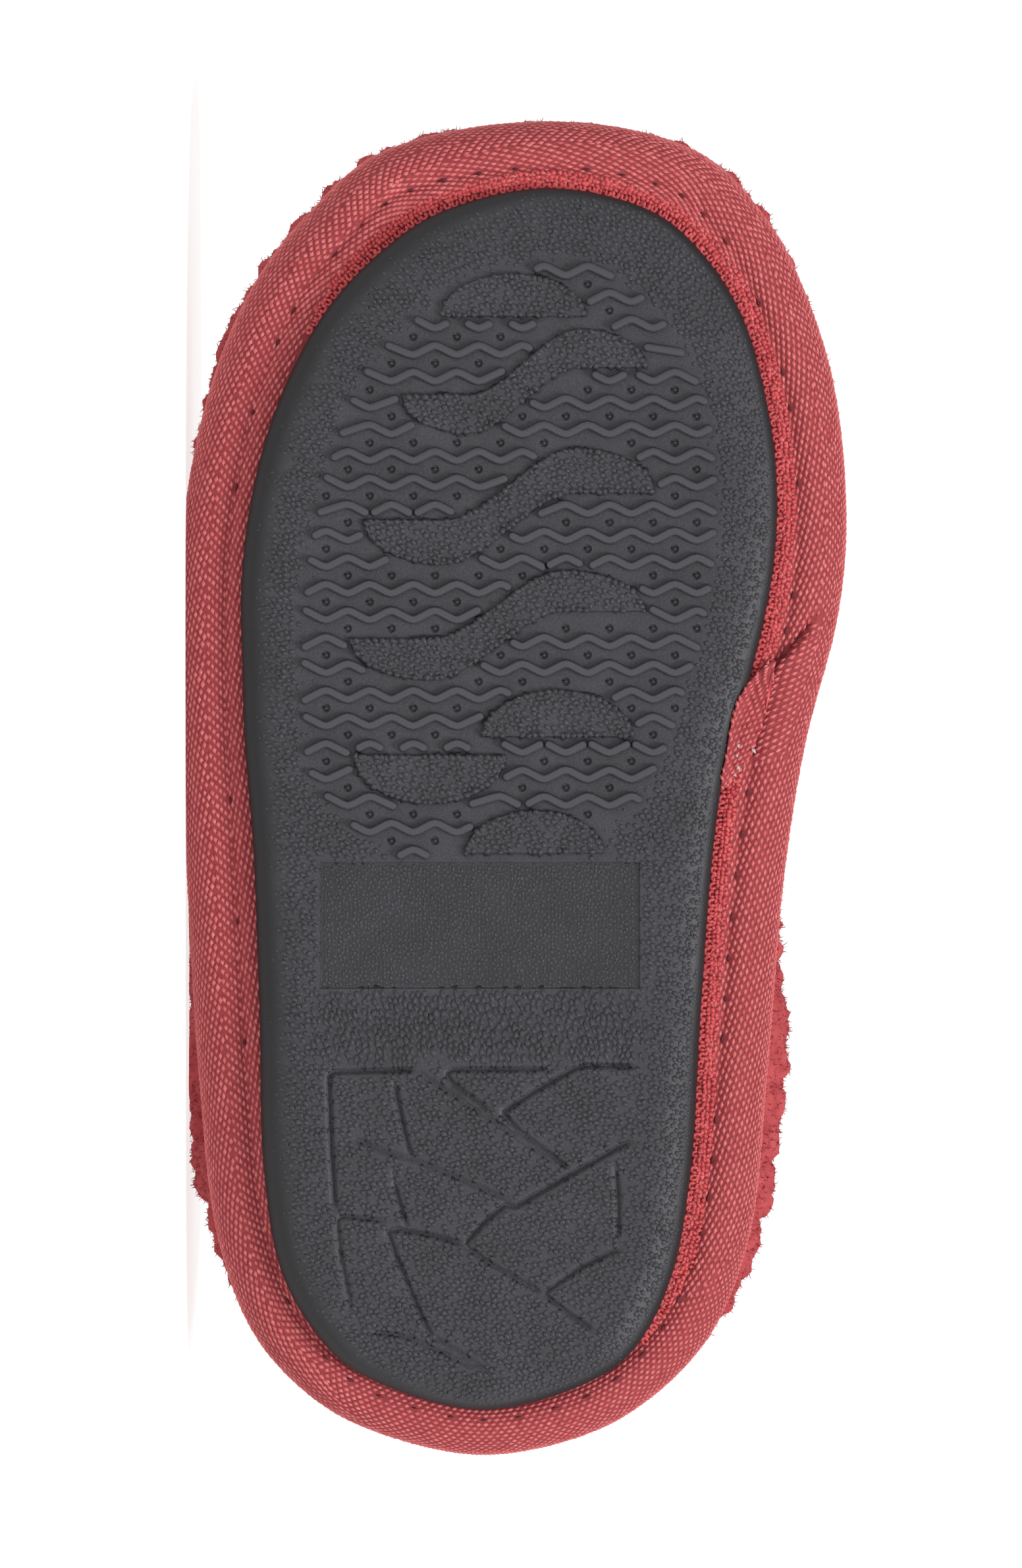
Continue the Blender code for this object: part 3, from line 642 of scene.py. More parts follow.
def creaseDepth(spots, spread=1.0):  # how far the lines under the heel cut in
    deepest = np.zeros(len(spots))
    for depth, width, corners in tread["heelCreases"]:
        path = np.array(corners)
        start, run = path[:-1], np.diff(path, axis=0)
        lengths = np.linalg.norm(run, axis=1)
        share = np.clip(((spots[:, None] - start) * run).sum(2) / lengths ** 2, 0, 1)
        away = np.linalg.norm(start + run * share[..., None] - spots[:, None], axis=2)
        near = np.argmin(away, axis=1)
        each = np.arange(len(spots))
        gone = (np.cumsum(lengths) - lengths)[near] + share[each, near] * lengths[near]
        toEnd = np.minimum(gone, lengths.sum() - gone)
        fade = smoothStep(0, tread["creaseTaper"], toEnd + tread["creaseLead"])
        deepest = np.maximum(deepest, depth * fade * (1 - smoothStep(0, width * spread, away[each, near])))
    return deepest


def heelPoints():
    rim = footOutline(sole, tread["rimProbes"])[0]
    rim = inset(rim, tableValue(sole["rimWidths"], rim[:, 0]))
    spots = []
    for _, _, corners in tread["heelCreases"]:
        path = eased(np.array(corners), tread["creaseCorner"], closed=False)
        length = np.linalg.norm(np.diff(path, axis=0), axis=1).sum()
        path = spaced(path, int(length / tread["creaseStep"]) + 2, closed=False)[0]
        run = np.gradient(path, axis=0)
        left = np.stack([-run[:, 1], run[:, 0]], 1) / np.linalg.norm(run, axis=1, keepdims=True)
        spots += [path + left * offset for offset in tread["creaseOffsets"]]
    spots, room = np.vstack(spots), tread["creaseRimRoom"]
    return np.array([spot for spot in spots if insideLoop(rim, spot) and distanceTo(rim, spot) > room])


def plateBorder():  # the outline of the size plate in short steps, and where pebbles and bark come up to it
    corners = np.array(tread["sizePlate"])
    steps = np.linspace(0, 1, tread["plateSteps"], endpoint=False)[:, None]
    border = np.vstack([a + (b - a) * steps for a, b in zip(corners, np.roll(corners, -1, axis=0))])
    left, right = fieldLimits(corners[:, 0].max())
    isLow = np.isclose(border[:, 0], corners[:, 0].min())
    isBeside = (border[:, 1] < left) | (border[:, 1] > right)
    return border, isBeside & ~isLow, isLow


def treadLine(points, height, pebble=0.0, bark=0.0, rib=0.0, closed=True):  # closed is None for loose points
    return points, height, pebble, bark, rib, closed


def holeSpots(barPoints, obstacles):  # between the peaks of two rows, where there is room
    spots = []
    for row in range(tread["rows"] - 1):
        along = rowAlong(row + 0.5)
        left, right = fieldLimits(along)
        for peak in range(-tread["holesAside"], tread["holesAside"] + 1):
            spot = np.array((along, (2 * peak - row) * tread["halfPeriod"]))
            near = np.min(np.linalg.norm(barPoints - spot, axis=1))
            isFree = left < spot[1] < right and near > tread["holeBarRoom"]
            if isFree and isClear(spot, obstacles, tread["holeClearance"]):
                spots.append(spot)
    return spots


def treadLines():  # every line of the tread, with its height above the ground
    islands = [sIsland(*row) for row in tread["sIslands"]] + [halfLens(*row) for row in tread["halfLenses"]]
    obstacles = islands + [np.array(tread["sizePlate"])]
    lines = []
    for loop in islands:
        for amount, height, pebble in tread["islandEdge"]:
            lines.append(treadLine(shrunk(loop, amount), height, pebble))
    border, hasPebbles, hasBark = plateBorder()
    around = shrunk(border, -tread["plateMargin"])
    lines.append(treadLine(around[hasPebbles], 0.0, pebble=1.0, closed=None))
    lines.append(treadLine(around[hasBark], 0.0, bark=1.0, closed=None))
    for amount, height, rib in tread["plateEdge"]:
        lines.append(treadLine(shrunk(border, amount), height, rib=rib))
    barPaths = []
    for row in range(tread["rows"]):
        for path in zigzagBars(row, obstacles):
            path = eased(path, tread["cornerReach"], closed=False)
            barPaths.append(path)
            for half, height in tread["barSteps"]:
                lines.append(treadLine(barOutline(path, half), height))
            lines.append(treadLine(path, tread["barRidge"], closed=False))
    barPoints = np.vstack(barPaths)
    turn = np.linspace(0, 2 * math.pi, tread["holeSides"], endpoint=False)
    circle = np.stack([np.cos(turn), np.sin(turn)], 1)
    for spot in holeSpots(barPoints, obstacles):
        for radius, height in tread["holeSteps"]:
            lines.append(treadLine(spot + circle * radius, height))
        lines.append(treadLine(spot[None], tread["pinTip"], closed=False))
    spots = heelPoints()
    bark = smoothStep(*tread["barkFrom"], spots[:, 0])
    plain = 1 - smoothStep(*tread["creaseBare"], creaseDepth(spots, tread["creaseRoom"]))
    heights = groundHeight(spots[:, 0]) - creaseDepth(spots)
    lines.append(treadLine(spots, heights, (1 - bark) * plain, bark * plain, closed=None))
    for along in tread["waistRows"]:
        height = float(groundHeight(along))
        for across in np.arange(*tread["waistSpan"]):
            lines.append(treadLine(np.array([(along, across)]), height, bark=1.0, closed=False))
    margin = tread["fieldMargin"]
    islandRoom, barRoom = tread["besideRoom"]
    for along in np.arange(*tread["besideField"]):
        left, right = fieldLimits(along)
        for across in (left - margin, right + margin):
            spot = np.array((along, across))
            near = np.min(np.linalg.norm(barPoints - spot, axis=1))
            if near > barRoom and isClear(spot, obstacles, islandRoom):
                lines.append(treadLine(spot[None], 0.0, pebble=1.0, closed=False))
    return lines


def makeOutsole():
    edge, _ = footOutline(sole, sole["points"])
    count = sole["points"]
    widths = tableValue(sole["rimWidths"], edge[:, 0])
    depth = sole["treadDepth"]
    turns = np.linspace(0, math.pi / 2, sole["rimRings"] + 1)
    ground = groundHeight(edge[:, 0])
    loops = [(inset(edge, widths * (1 - math.sin(a))),
              depth + sole["rimRise"] * (1 - math.cos(a)) - ground * math.cos(a) ** 2) for a in turns]
    shift = sole["heelShift"] * smoothStep(*sole["heelShiftEnds"], edge[:, 0])
    inner = smoothStep(*sole["innerEnds"], edge[:, 1] + shift)
    bare = sole["bareRim"][0] * (1 - inner) + sole["bareRim"][1] * inner
    pebbles = [smoothStep(*sole["pebbleFade"], widths * (1 - math.sin(a)) / bare) for a in turns]
    lip = depth + sole["rimRise"] + sole["lipHeight"]
    tray = inset(edge, sole["trayInset"])
    loops += [(edge, lip), (inset(edge, sole["lipWidth"]), lip), (tray, depth + sole["wall"])]
    pebbles += [np.zeros(count)] * 3
    points = np.vstack([toFrame(loop[:, 0], loop[:, 1], np.full(count, up)) for loop, up in loops])
    faces = ringFaces(len(loops), count)
    values = np.concatenate(pebbles)
    grain = [np.stack([values, np.zeros_like(values), np.zeros_like(values)], 1)]
    field = loops[0][0]
    flat, heights, marks, edges = [field], [ground], [], []
    edges += [(i, (i + 1) % count) for i in range(count)]
    total = count
    for line, height, pebble, bark, rib, closed in treadLines():
        n = len(line)
        flat.append(line)
        heights.append(np.full(n, height))
        marks.append(np.stack(np.broadcast_arrays(np.zeros(n), pebble, bark, rib)[1:], 1))
        if n > 1 and closed is not None:
            edges += [(total + i, total + (i + 1) % n) for i in range(n if closed else n - 1)]
        total += n
    heights = np.concatenate(heights)
    marks = np.vstack([np.zeros((count, 3)), *marks])
    spots = [Vector(p) for p in np.vstack(flat).tolist()]
    found, _, triangles, origins, _, _ = delaunay_2d_cdt(spots, edges, [], insideOnly, weldGap)
    numbers, extraPoints, extraMarks = [], [], []
    for point, origin in zip(found, origins):
        if origin and min(origin) < count:
            numbers.append(min(origin))
            continue
        height = heights[origin[0]] if origin else 0.0  # a crossing of two lines has no origin
        numbers.append(len(points) + len(extraPoints))
        extraPoints.append((point.x, point.y, depth - height))
        extraMarks.append(marks[origin[0]] if origin else (0.0, 0.0, 0.0))
    extra = np.array(extraPoints)
    faces += [tuple(numbers[c] for c in triangle) for triangle in triangles]
    points = np.vstack([points, toFrame(extra[:, 0], extra[:, 1], extra[:, 2])])
    grain.append(np.array(extraMarks))
    faces += capFaces(tray, (len(loops) - 1) * count)
    piece = meshPiece("outsoleRubber", points, faces, [rubber], sole["sharpDeg"])
    grain = np.vstack(grain)
    for column, name in enumerate(("pebble", "bark", "rib")):
        pointValues(piece, name, grain[:, column])
    # painted shade: the bare rim strip beside the tape is darkened, and the size plate is darkened too
    clean = sole["plateDark"] * grain[:, 2]
    clean[:len(loops) * count] = sole["rimShade"] * (1 - values)
    pointValues(piece, "clean", clean)
    # painted highlight: the raised tops of the tread in front of the heel are painted lighter grey
    worn = np.zeros(len(grain))
    isFront = extra[:, 0] > tread["barkFrom"][1]
    worn[len(loops) * count:] = smoothStep(*sole["highlightHeights"], depth - extra[:, 2]) * isFront
    pointValues(piece, "worn", worn * (1 - grain[:, 1]))
    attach(piece, "root")
    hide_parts("outsole")
    print("outsole", len(faces), "faces")
    return piece


outsole = makeOutsole()


# Threads and pile: small shapes set out on points or scattered on a surface
scatter = {
    "spin": 3.14,  # a fibre may turn this far each way, in radians
    "densest": 1e7,  # points to the square metre, before the spacing thins them out
    "smallest": 0.35,  # size of a pebble where the grain runs out
}
helperFields = (
    "threadRun", "threadOut", "threadSize", "pile", "grain", "pebble", "bark", "rib", "clean", "worn",
)


def usedSocket(sockets, name):  # the socket that the node's data type uses
    return next(s for s in sockets if s.enabled and s.name == name)


def newTree(name, inputs):
    tree = bpy.data.node_groups.new(name, "GeometryNodeTree")
    sockets = {"Geometry": "Geometry", "Shape": "Object", **inputs, "Seed": "Int", "Material": "Material"}
    for title, kind in sockets.items():
        tree.interface.new_socket(title, in_out="INPUT", socket_type="NodeSocket" + kind)
    tree.interface.new_socket("Geometry", in_out="OUTPUT", socket_type="NodeSocketGeometry")
    return tree, addNode(tree, "NodeGroupInput").outputs


def endTree(tree, given, points, turn, size):  # a copy of the shape on every point
    shape = addNode(tree, "GeometryNodeObjectInfo", {"Object": given["Shape"]})
    placed = addNode(tree, "GeometryNodeInstanceOnPoints", {
        "Points": points, "Instance": shape.outputs["Geometry"], "Rotation": turn, "Scale": size,
    })
    real = addNode(tree, "GeometryNodeRealizeInstances", {"Geometry": placed.outputs[0]})
    smooth = addNode(tree, "GeometryNodeSetShadeSmooth", {"Geometry": real.outputs[0]})
    dressed = addNode(tree, "GeometryNodeSetMaterial", {
        "Geometry": smooth.outputs[0], "Material": given["Material"],
    })
    addNode(tree, "NodeGroupOutput", {"Geometry": dressed.outputs[0]})
    return tree


def unevenSize(tree, given, size):  # each copy a little larger or smaller by chance
    low = addNode(tree, "ShaderNodeMath", {0: 1.0, 1: given["Unevenness"]}, operation="SUBTRACT")
    high = addNode(tree, "ShaderNodeMath", {0: 1.0, 1: given["Unevenness"]}, operation="ADD")
    chance = addNode(tree, "FunctionNodeRandomValue", {
        0: low.outputs[0], 1: high.outputs[0], "Seed": given["Seed"],
    }, data_type="FLOAT_VECTOR")
    return addNode(tree, "ShaderNodeVectorMath", {
        0: size, 1: usedSocket(chance.outputs, "Value"),
    }, operation="MULTIPLY").outputs[0]


def threadTree():
    tree, given = newTree("sewnThreads", {"Unevenness": "Float"})
    read = {}
    for name in ("threadRun", "threadOut", "threadSize"):
        node = addNode(tree, "GeometryNodeInputNamedAttribute", {"Name": name}, data_type="FLOAT_VECTOR")
        read[name] = usedSocket(node.outputs, "Attribute")
    turn = addNode(tree, "FunctionNodeAxesToRotation", {
        "Primary Axis": read["threadRun"], "Secondary Axis": read["threadOut"],
    }, primary_axis="X", secondary_axis="Z")
    size = unevenSize(tree, given, read["threadSize"])
    points = addNode(tree, "GeometryNodeMeshToPoints", {"Mesh": given["Geometry"]})
    return endTree(tree, given, points.outputs[0], turn.outputs[0], size)


def pileTree():
    tree, given = newTree("fleecePile", {"Density": "Float", "Lean": "Float", "Shortest": "Float"})
    chosen = addNode(tree, "GeometryNodeInputNamedAttribute", {"Name": "pile"}, data_type="FLOAT")
    density = addNode(tree, "ShaderNodeMath", {
        0: usedSocket(chosen.outputs, "Attribute"), 1: given["Density"],
    }, operation="MULTIPLY")
    spread = addNode(tree, "GeometryNodeDistributePointsOnFaces", {
        "Mesh": given["Geometry"], "Density": density.outputs[0], "Seed": given["Seed"],
    })
    back = addNode(tree, "ShaderNodeMath", {0: given["Lean"], 1: -1.0}, operation="MULTIPLY").outputs[0]
    low = addNode(tree, "ShaderNodeCombineXYZ", {"X": back, "Y": back, "Z": -scatter["spin"]})
    high = addNode(tree, "ShaderNodeCombineXYZ", {
        "X": given["Lean"], "Y": given["Lean"], "Z": scatter["spin"],
    })
    lean = addNode(tree, "FunctionNodeRandomValue", {
        0: low.outputs[0], 1: high.outputs[0], "Seed": given["Seed"],
    }, data_type="FLOAT_VECTOR")
    euler = addNode(tree, "FunctionNodeEulerToRotation", {0: usedSocket(lean.outputs, "Value")})
    turn = addNode(tree, "FunctionNodeRotateRotation", {
        "Rotation": spread.outputs["Rotation"], "Rotate By": euler.outputs[0],
    }, rotation_space="LOCAL")
    size = addNode(tree, "FunctionNodeRandomValue", {
        2: given["Shortest"], 3: 1.0, "Seed": given["Seed"],
    }, data_type="FLOAT")
    return endTree(tree, given, spread.outputs["Points"], turn.outputs[0], usedSocket(size.outputs, "Value"))


def grainTree():
    tree, given = newTree("pebbleGrain", {
        "Spacing": "Float", "Size": "Vector", "Turn": "Float", "Unevenness": "Float",
    })
    node = addNode(tree, "GeometryNodeInputNamedAttribute", {"Name": "grain"}, data_type="FLOAT")
    chosen = usedSocket(node.outputs, "Attribute")
    spread = addNode(tree, "GeometryNodeDistributePointsOnFaces", {
        "Mesh": given["Geometry"], "Distance Min": given["Spacing"], "Density Max": scatter["densest"],
        "Density Factor": chosen, "Seed": given["Seed"],
    }, distribute_method="POISSON")
    upright = addNode(tree, "FunctionNodeAxesToRotation", {
        "Primary Axis": spread.outputs["Normal"], "Secondary Axis": (1.0, 0.0, 0.0),
    }, primary_axis="Z", secondary_axis="X")
    back = addNode(tree, "ShaderNodeMath", {0: given["Turn"], 1: -1.0}, operation="MULTIPLY")
    twist = addNode(tree, "FunctionNodeRandomValue", {
        2: back.outputs[0], 3: given["Turn"], "Seed": given["Seed"],
    }, data_type="FLOAT")
    euler = addNode(tree, "ShaderNodeCombineXYZ", {"Z": usedSocket(twist.outputs, "Value")})
    turned = addNode(tree, "FunctionNodeEulerToRotation", {0: euler.outputs[0]})
    rotation = addNode(tree, "FunctionNodeRotateRotation", {
        "Rotation": upright.outputs[0], "Rotate By": turned.outputs[0],
    }, rotation_space="LOCAL")
    fade = addNode(tree, "ShaderNodeMapRange", {
        "Value": chosen, "To Min": scatter["smallest"], "To Max": 1.0,
    })
    faded = addNode(tree, "ShaderNodeVectorMath", {
        0: unevenSize(tree, given, given["Size"]), "Scale": fade.outputs[0],
    }, operation="SCALE")
    return endTree(tree, given, spread.outputs["Points"], rotation.outputs[0], faded.outputs[0])


sewnThreads = threadTree()
fleecePile = pileTree()
pebbleGrain = grainTree()


def grown(piece, tree, values, material):  # run a tree on a piece and keep the result as its mesh
    modifier = piece.modifiers.new(tree.name, "NODES")
    modifier.node_group = tree
    names = {item.name: item.identifier for item in tree.interface.items_tree if item.in_out == "INPUT"}
    for key, value in {**values, "Material": material}.items():
        modifier[names[key]] = value
    shown = piece.evaluated_get(bpy.context.evaluated_depsgraph_get())
    mesh = bpy.data.meshes.new_from_object(shown)
    piece.modifiers.clear()
    piece.data = mesh
    mesh.name = piece.name
    spots = np.empty(len(mesh.vertices) * 3, np.float32)
    mesh.vertices.foreach_get("co", spots)
    spots[2::3] = np.maximum(spots[2::3], 0.0)  # nothing reaches under the floor
    mesh.vertices.foreach_set("co", spots)
    for attribute in list(mesh.attributes):
        if attribute.name in helperFields:
            mesh.attributes.remove(attribute)
    mesh.update()
    return piece


def templateObject(name, points, faces):  # kept out of the scene, only copied from
    mesh = bpy.data.meshes.new(name)
    mesh.from_pydata(points, [], faces)
    mesh.update()
    return bpy.data.objects.new(name, mesh)


def lensShape():  # a float of yarn: one long, one wide, half of it above the cloth
    ring = ((-0.5, -0.1), (0.0, -0.4), (0.5, -0.1), (0.0, 0.5))
    points = [(-0.5, 0.0, -0.16), *((0.0, y, z) for y, z in ring), (0.5, 0.0, -0.16)]
    faces = [(0, 1 + i, 1 + (i + 1) % 4) for i in range(4)]
    faces += [(5, 1 + (i + 1) % 4, 1 + i) for i in range(4)]
    return templateObject("yarnFloat", points, faces)


def loopShape(segments=6, sides=4, openDeg=70.0, tube=0.42):  # a C of yarn that lies flat
    points, faces = [], []
    for i in range(segments + 1):
        a = math.radians(openDeg / 2 + (360 - openDeg) * i / segments)
        for j in range(sides):
            b = 2 * math.pi * j / sides
            reach = 0.5 - tube / 2 + tube / 2 * math.cos(b)
            points.append((reach * math.cos(a), reach * math.sin(a), tube / 2 * math.sin(b)))
    for i in range(segments):
        for j in range(sides):
            k = (j + 1) % sides
            faces.append((i * sides + j, (i + 1) * sides + j, (i + 1) * sides + k, i * sides + k))
    faces += [tuple(range(sides)), tuple(segments * sides + j for j in reversed(range(sides)))]
    return templateObject("yarnLoop", points, faces)


def fibreShape(length, thick, bend):  # a short bent fibre
    points = []
    for up, aside, half in ((-0.1, 0.0, 0.5), (0.55, 0.35 * bend, 0.4)):
        for turn in (0, 120, 240):
            a = math.radians(turn)
            reach = half * thick
            points.append((aside * length + reach * math.cos(a), reach * math.sin(a), up * length))
    points.append((bend * length, 0.0, 0.9 * length))
    faces = [(2, 1, 0), (0, 1, 4, 3), (1, 2, 5, 4), (2, 0, 3, 5), (3, 4, 6), (4, 5, 6), (5, 3, 6)]
    return templateObject("fleeceFibre", points, faces)


def domeShape(sides=5):  # a low dome, with its foot below the surface
    turns = [2 * math.pi * i / sides for i in range(sides)]
    points = [(0.5 * math.cos(a), 0.5 * math.sin(a), -0.3) for a in turns] + [(0.0, 0.0, 0.5)]
    faces = [(i, (i + 1) % sides, sides) for i in range(sides)] + [tuple(reversed(range(sides)))]
    return templateObject("pebbleDome", points, faces)


yarnFloat = lensShape()
yarnLoop = loopShape()
pebbleDome = domeShape()

# Grain of the rubber: round pebbles on the rim, islands and heel, longer ones at the waist, grit on the plate
grains = {
    "rubberPebbles": {
        "field": "pebble", "Spacing": 0.62 * mm, "Size": (1.42 * mm, 1.16 * mm, 0.6 * mm), "Turn": 1.2,
        "Unevenness": 0.16, "Seed": 31,
    },
    "rubberBark": {
        "field": "bark", "Spacing": 0.64 * mm, "Size": (2.2 * mm, 1.0 * mm, 0.6 * mm), "Turn": 0.4,
        "Unevenness": 0.22, "Seed": 37,
    },
    "plateGrit": {
        "field": "rib", "Spacing": 0.42 * mm, "Size": (1.1 * mm, 0.6 * mm, 0.16 * mm), "Turn": 0.15,
        "Unevenness": 0.25, "Seed": 41,
    },
}


def makeGrain(name):
    values = {key: value for key, value in grains[name].items() if key != "field"}
    places = np.empty(len(outsole.data.vertices), np.float32)
    outsole.data.attributes[grains[name]["field"]].data.foreach_get("value", places)
    piece = bpy.data.objects.new(name, outsole.data.copy())
    bpy.context.scene.collection.objects.link(piece)
    pointValues(piece, "grain", places)
    grown(piece, pebbleGrain, {"Shape": pebbleDome, **values}, rubber)
    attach(piece, "root")
    print(name, len(piece.data.polygons), "faces")


for name in grains:
    makeGrain(name)

# Binding band: tape rolled round the edge, with its weave, selvedge loops, stitches and lap
band = {
    "heelTip": (0.0, -2.0),
    "toeTip": (165.0, 6.9),
    "sections": (  # along, distance to the outer edge, distance to the inner edge
        (2.2, 13.6, 9.7), (6.3, 22.2, 17.6), (14.4, 30.1, 25.6), (26.6, 34.8, 30.6), (47.0, 37.2, 32.9),
        (71.5, 38.7, 35.0), (87.8, 39.6, 37.6), (104.0, 39.8, 41.7), (116.0, 39.1, 42.7), (132.6, 35.6, 41.1),
        (144.8, 30.4, 37.2), (153.0, 24.2, 32.8), (161.1, 14.8, 24.6),
    ),
    "points": 720,
    "profile": (  # inset from the edge, height above the tread
        (12.2, 5.1), (9.6, 5.0), (8.4, 4.9), (7.4, 4.75), (6.7, 4.85), (6.0, 5.3), (5.2, 5.0),
        (4.2, 4.85), (3.0, 5.15), (1.9, 5.85), (1.0, 6.95), (0.35, 8.4), (0.0, 10.1), (0.0, 11.0),
        (0.26, 12.3), (0.98, 13.4), (2.2, 14.2), (3.4, 14.4), (4.0, 14.4),
    ),
    "profileRows": 48,
    "undersideRows": 30,
    "rollMiddle": (4.0, 9.8),
    "back": ((4.0, 6.7), (12.2, 5.5)),
    "toeShare": 0.47,  # of the way round from the heel, with the outer side first
    "sharpDeg": 50.0,
}
lap = {
    "creaseStart": (98.0, 5.8),  # along and inset where the crease leaves the sole
    "creaseLean": 1.65,
    "creaseFade": (1.01, 0.97),  # shares of the way from the end line to the crease
    "creaseRoom": 0.35,
    "endStart": (85.8, 5.5),
    "endLean": 0.25,
    "endFade": (-0.03, 0.03),
    "endRoom": 0.02,
    "elsewhere": -9.0,  # share that stands for the other side of the slipper
    "rise": 0.3,
    "puff": 0.45,
    "groove": 1.0,
    "grooveWidth": 0.65,
    "grooveBare": 0.45,  # no threads this near to the crease
    "grooveInset": 2.4,
    "outerInset": (2.0, 3.6),  # the lap's fold fades out between these insets
    "deepest": 6.4,  # inset at which it ends under the sole
    "threadInset": 6.2,
    "highest": 9.0,  # height above the tread at which it ends on the roll
    "middle": (93.0, 3.0),  # along and inset
    "middleReach": 0.6,
    "edgeRoom": 0.3,
}
weave = {
    # for each kind: lane width, pitch in a lane, slope of its lines, lean and size of a float
    "kinds": {
        "steep": {"lane": 0.25, "pitch": 2.5, "slope": -3.8, "lean": -0.08, "size": (1.2, 0.52, 0.5)},
        "back": {"lane": 0.5, "pitch": 1.16, "slope": 0.96, "lean": 0.2, "size": (0.98, 0.56, 0.48)},
        "dots": {"lane": 0.54, "pitch": 1.08, "slope": 1.0, "lean": 0.0, "size": (0.82, 0.55, 0.5)},
    },
    "lap": {"lane": 0.64, "pitch": 1.05, "slope": 0.8, "turnDeg": 52.0, "size": (1.25, 0.52, 0.5)},
    "lapReach": (45, 18),  # lanes and floats in a lane, each way from the lap's middle
    "backWidths": (2.7, 2.1),  # outer side, inner side
    "zonePeriod": 11.0,
    "drifts": ((3.7, 0.38, 0.54), (3.5, 0.70, 0.745)),  # how far the zones move out, over which shares
    "heel": (0.905, 0.055),
    "heelSlant": 1.9,
    "heelLane": 3.0,  # the heel's shares hold at this distance from the stitches
    "firstInset": 8.6,
    "lastRoom": 0.1,
    "lift": 0.03,
    "unevenness": 0.14,
    "seed": 4,
}
selvedge = {
    "points": 2000,
    "rows": (  # name, distance from the outsole's edge, pitch, size, turn in degrees, shape
        ("selvedgeLoops", 0.35, 1.0, (1.25, 1.15, 0.75), 0.0, "loop"),
        ("selvedgeChain", 0.95, 0.56, (1.05, 0.74, 0.45), 50.0, "float"),
        ("selvedgePlait", 1.42, 0.56, (1.05, 0.74, 0.45), -50.0, "float"),
        ("selvedgeBumps", 1.95, 0.62, (0.9, 0.68, 0.42), 0.0, "float"),
    ),
    "jitter": 0.22,
    "shiftMm": 0.05,
    "height": 4.72,
    "innerFrom": 14.0,  # along: the loops show from here on the inner side, round the toe
    "outerFrom": 138.0,
    "stagger": 3.0,  # each row starts this much later than the one before
    "unevenness": 0.2,
    "seed": 8,
}
stitches = {
    "inset": 5.95,
    "heelInset": 4.5,
    "heelSpan": (0.035, 0.1),
    "pitch": 5.0,
    "size": (1.3, 0.4, 0.5),
    "clear": 0.3,  # threads of the weave keep this far away
    "highest": 7.0,
    "lift": 0.04,
    "shown": (0.35, 0.8, 0.9),  # share of them that shows on the outer and the inner side, and at the heel
    "unevenness": 0.35,
    "seed": 15,
}


def openSpline(points, steps=12):
    closed = splineLoop(np.vstack([points, points[::-1][1:-1]]), steps)
    return np.vstack([closed[:(len(points) - 1) * steps], points[-1:]])


def lapShares(along, across, depth):  # where a spot lies between the end line (0) and the crease (1)
    crease = lap["creaseStart"][0] + (lap["creaseStart"][1] - depth) * lap["creaseLean"]
    end = lap["endStart"][0] + (lap["endStart"][1] - depth) * lap["endLean"]
    share = (along - end) / (crease - end)
    return np.where(across > 0, share, lap["elsewhere"]), along - crease


def lapPlace(profile, rows, spots):  # inset, height, share and distance past the crease of spots on the tape
    numbers = np.arange(len(profile))
    depths, heights = (np.interp(rows, numbers, profile[:, column]) for column in (0, 1))
    return depths, heights, *lapShares(*fromFrame(spots), depths)


def tapeGrid():  # rows from under the outsole to the crown, columns round the slipper
    edge, length = footOutline(band, band["points"])
    profile, _ = spaced(openSpline(np.array(band["profile"])), band["profileRows"], closed=False)
    steps = np.gradient(profile, axis=0)
    steps = steps / np.linalg.norm(steps, axis=1, keepdims=True)
    outward = np.stack([steps[:, 1], -steps[:, 0]], 1)  # inset and height, away from the roll's middle
    outward *= np.sign(np.sum(outward * (profile - np.array(band["rollMiddle"])), axis=1, keepdims=True))
    normals = inwardOf(edge)
    rows = []
    for (depth, up), (outDepth, outUp) in zip(profile, outward):
        base = inset(edge, depth)
        isLap = depth < lap["deepest"]
        share, past = lapShares(base[:, 0], base[:, 1], min(depth, lap["deepest"]))
        lapped = isLap * smoothStep(*lap["endFade"], share) * smoothStep(*lap["creaseFade"], share)
        fade = smoothStep(*lap["outerInset"], depth) * (up < lap["highest"])
        lift = lapped * (lap["rise"] + lap["puff"] * np.clip(share, 0, 1) ** 2) * fade
        groove = isLap * lap["groove"] * fade * np.exp(-(past / lap["grooveWidth"]) ** 2) * (base[:, 1] > 0)
        lift = (lift - groove)[:, None]
        spots = base + normals * outDepth * lift
        rows.append(toFrame(spots[:, 0], spots[:, 1], up + outUp * lift[:, 0]))
    arcs = np.concatenate([[0], np.cumsum(np.linalg.norm(np.diff(profile, axis=0), axis=1))])
    return np.array(rows), profile, arcs, edge, length


def gridSpot(grid, row, column):  # point of a grid between its rows and columns
    r0 = np.clip(np.floor(row).astype(int), 0, len(grid) - 2)
    c0 = np.floor(column).astype(int)
    fr, fc = (row - r0)[:, None], (column - c0)[:, None]
    count = grid.shape[1]
    a, b = grid[r0, c0 % count], grid[r0, (c0 + 1) % count]
    c, d = grid[r0 + 1, c0 % count], grid[r0 + 1, (c0 + 1) % count]
    return (a * (1 - fc) + b * fc) * (1 - fr) + (c * (1 - fc) + d * fc) * fr


def gridFrame(grid, row, column, half=0.5):  # point, run along the columns, run up the rows, outward
    spot = gridSpot(grid, row, column)
    along = gridSpot(grid, row, column + half) - gridSpot(grid, row, column - half)
    topRow = len(grid) - 1.001  # just short of the last row
    up = gridSpot(grid, np.clip(row + half, 0, topRow), column)
    up = up - gridSpot(grid, np.clip(row - half, 0, topRow), column)
    along = along / np.linalg.norm(along, axis=1, keepdims=True)
    up = up / np.linalg.norm(up, axis=1, keepdims=True)
    return spot, along, up, np.cross(up, along)


def sameSize(size, number):  # one size in millimetres for a number of threads
    return np.tile(np.array(size) * mm, (number, 1))


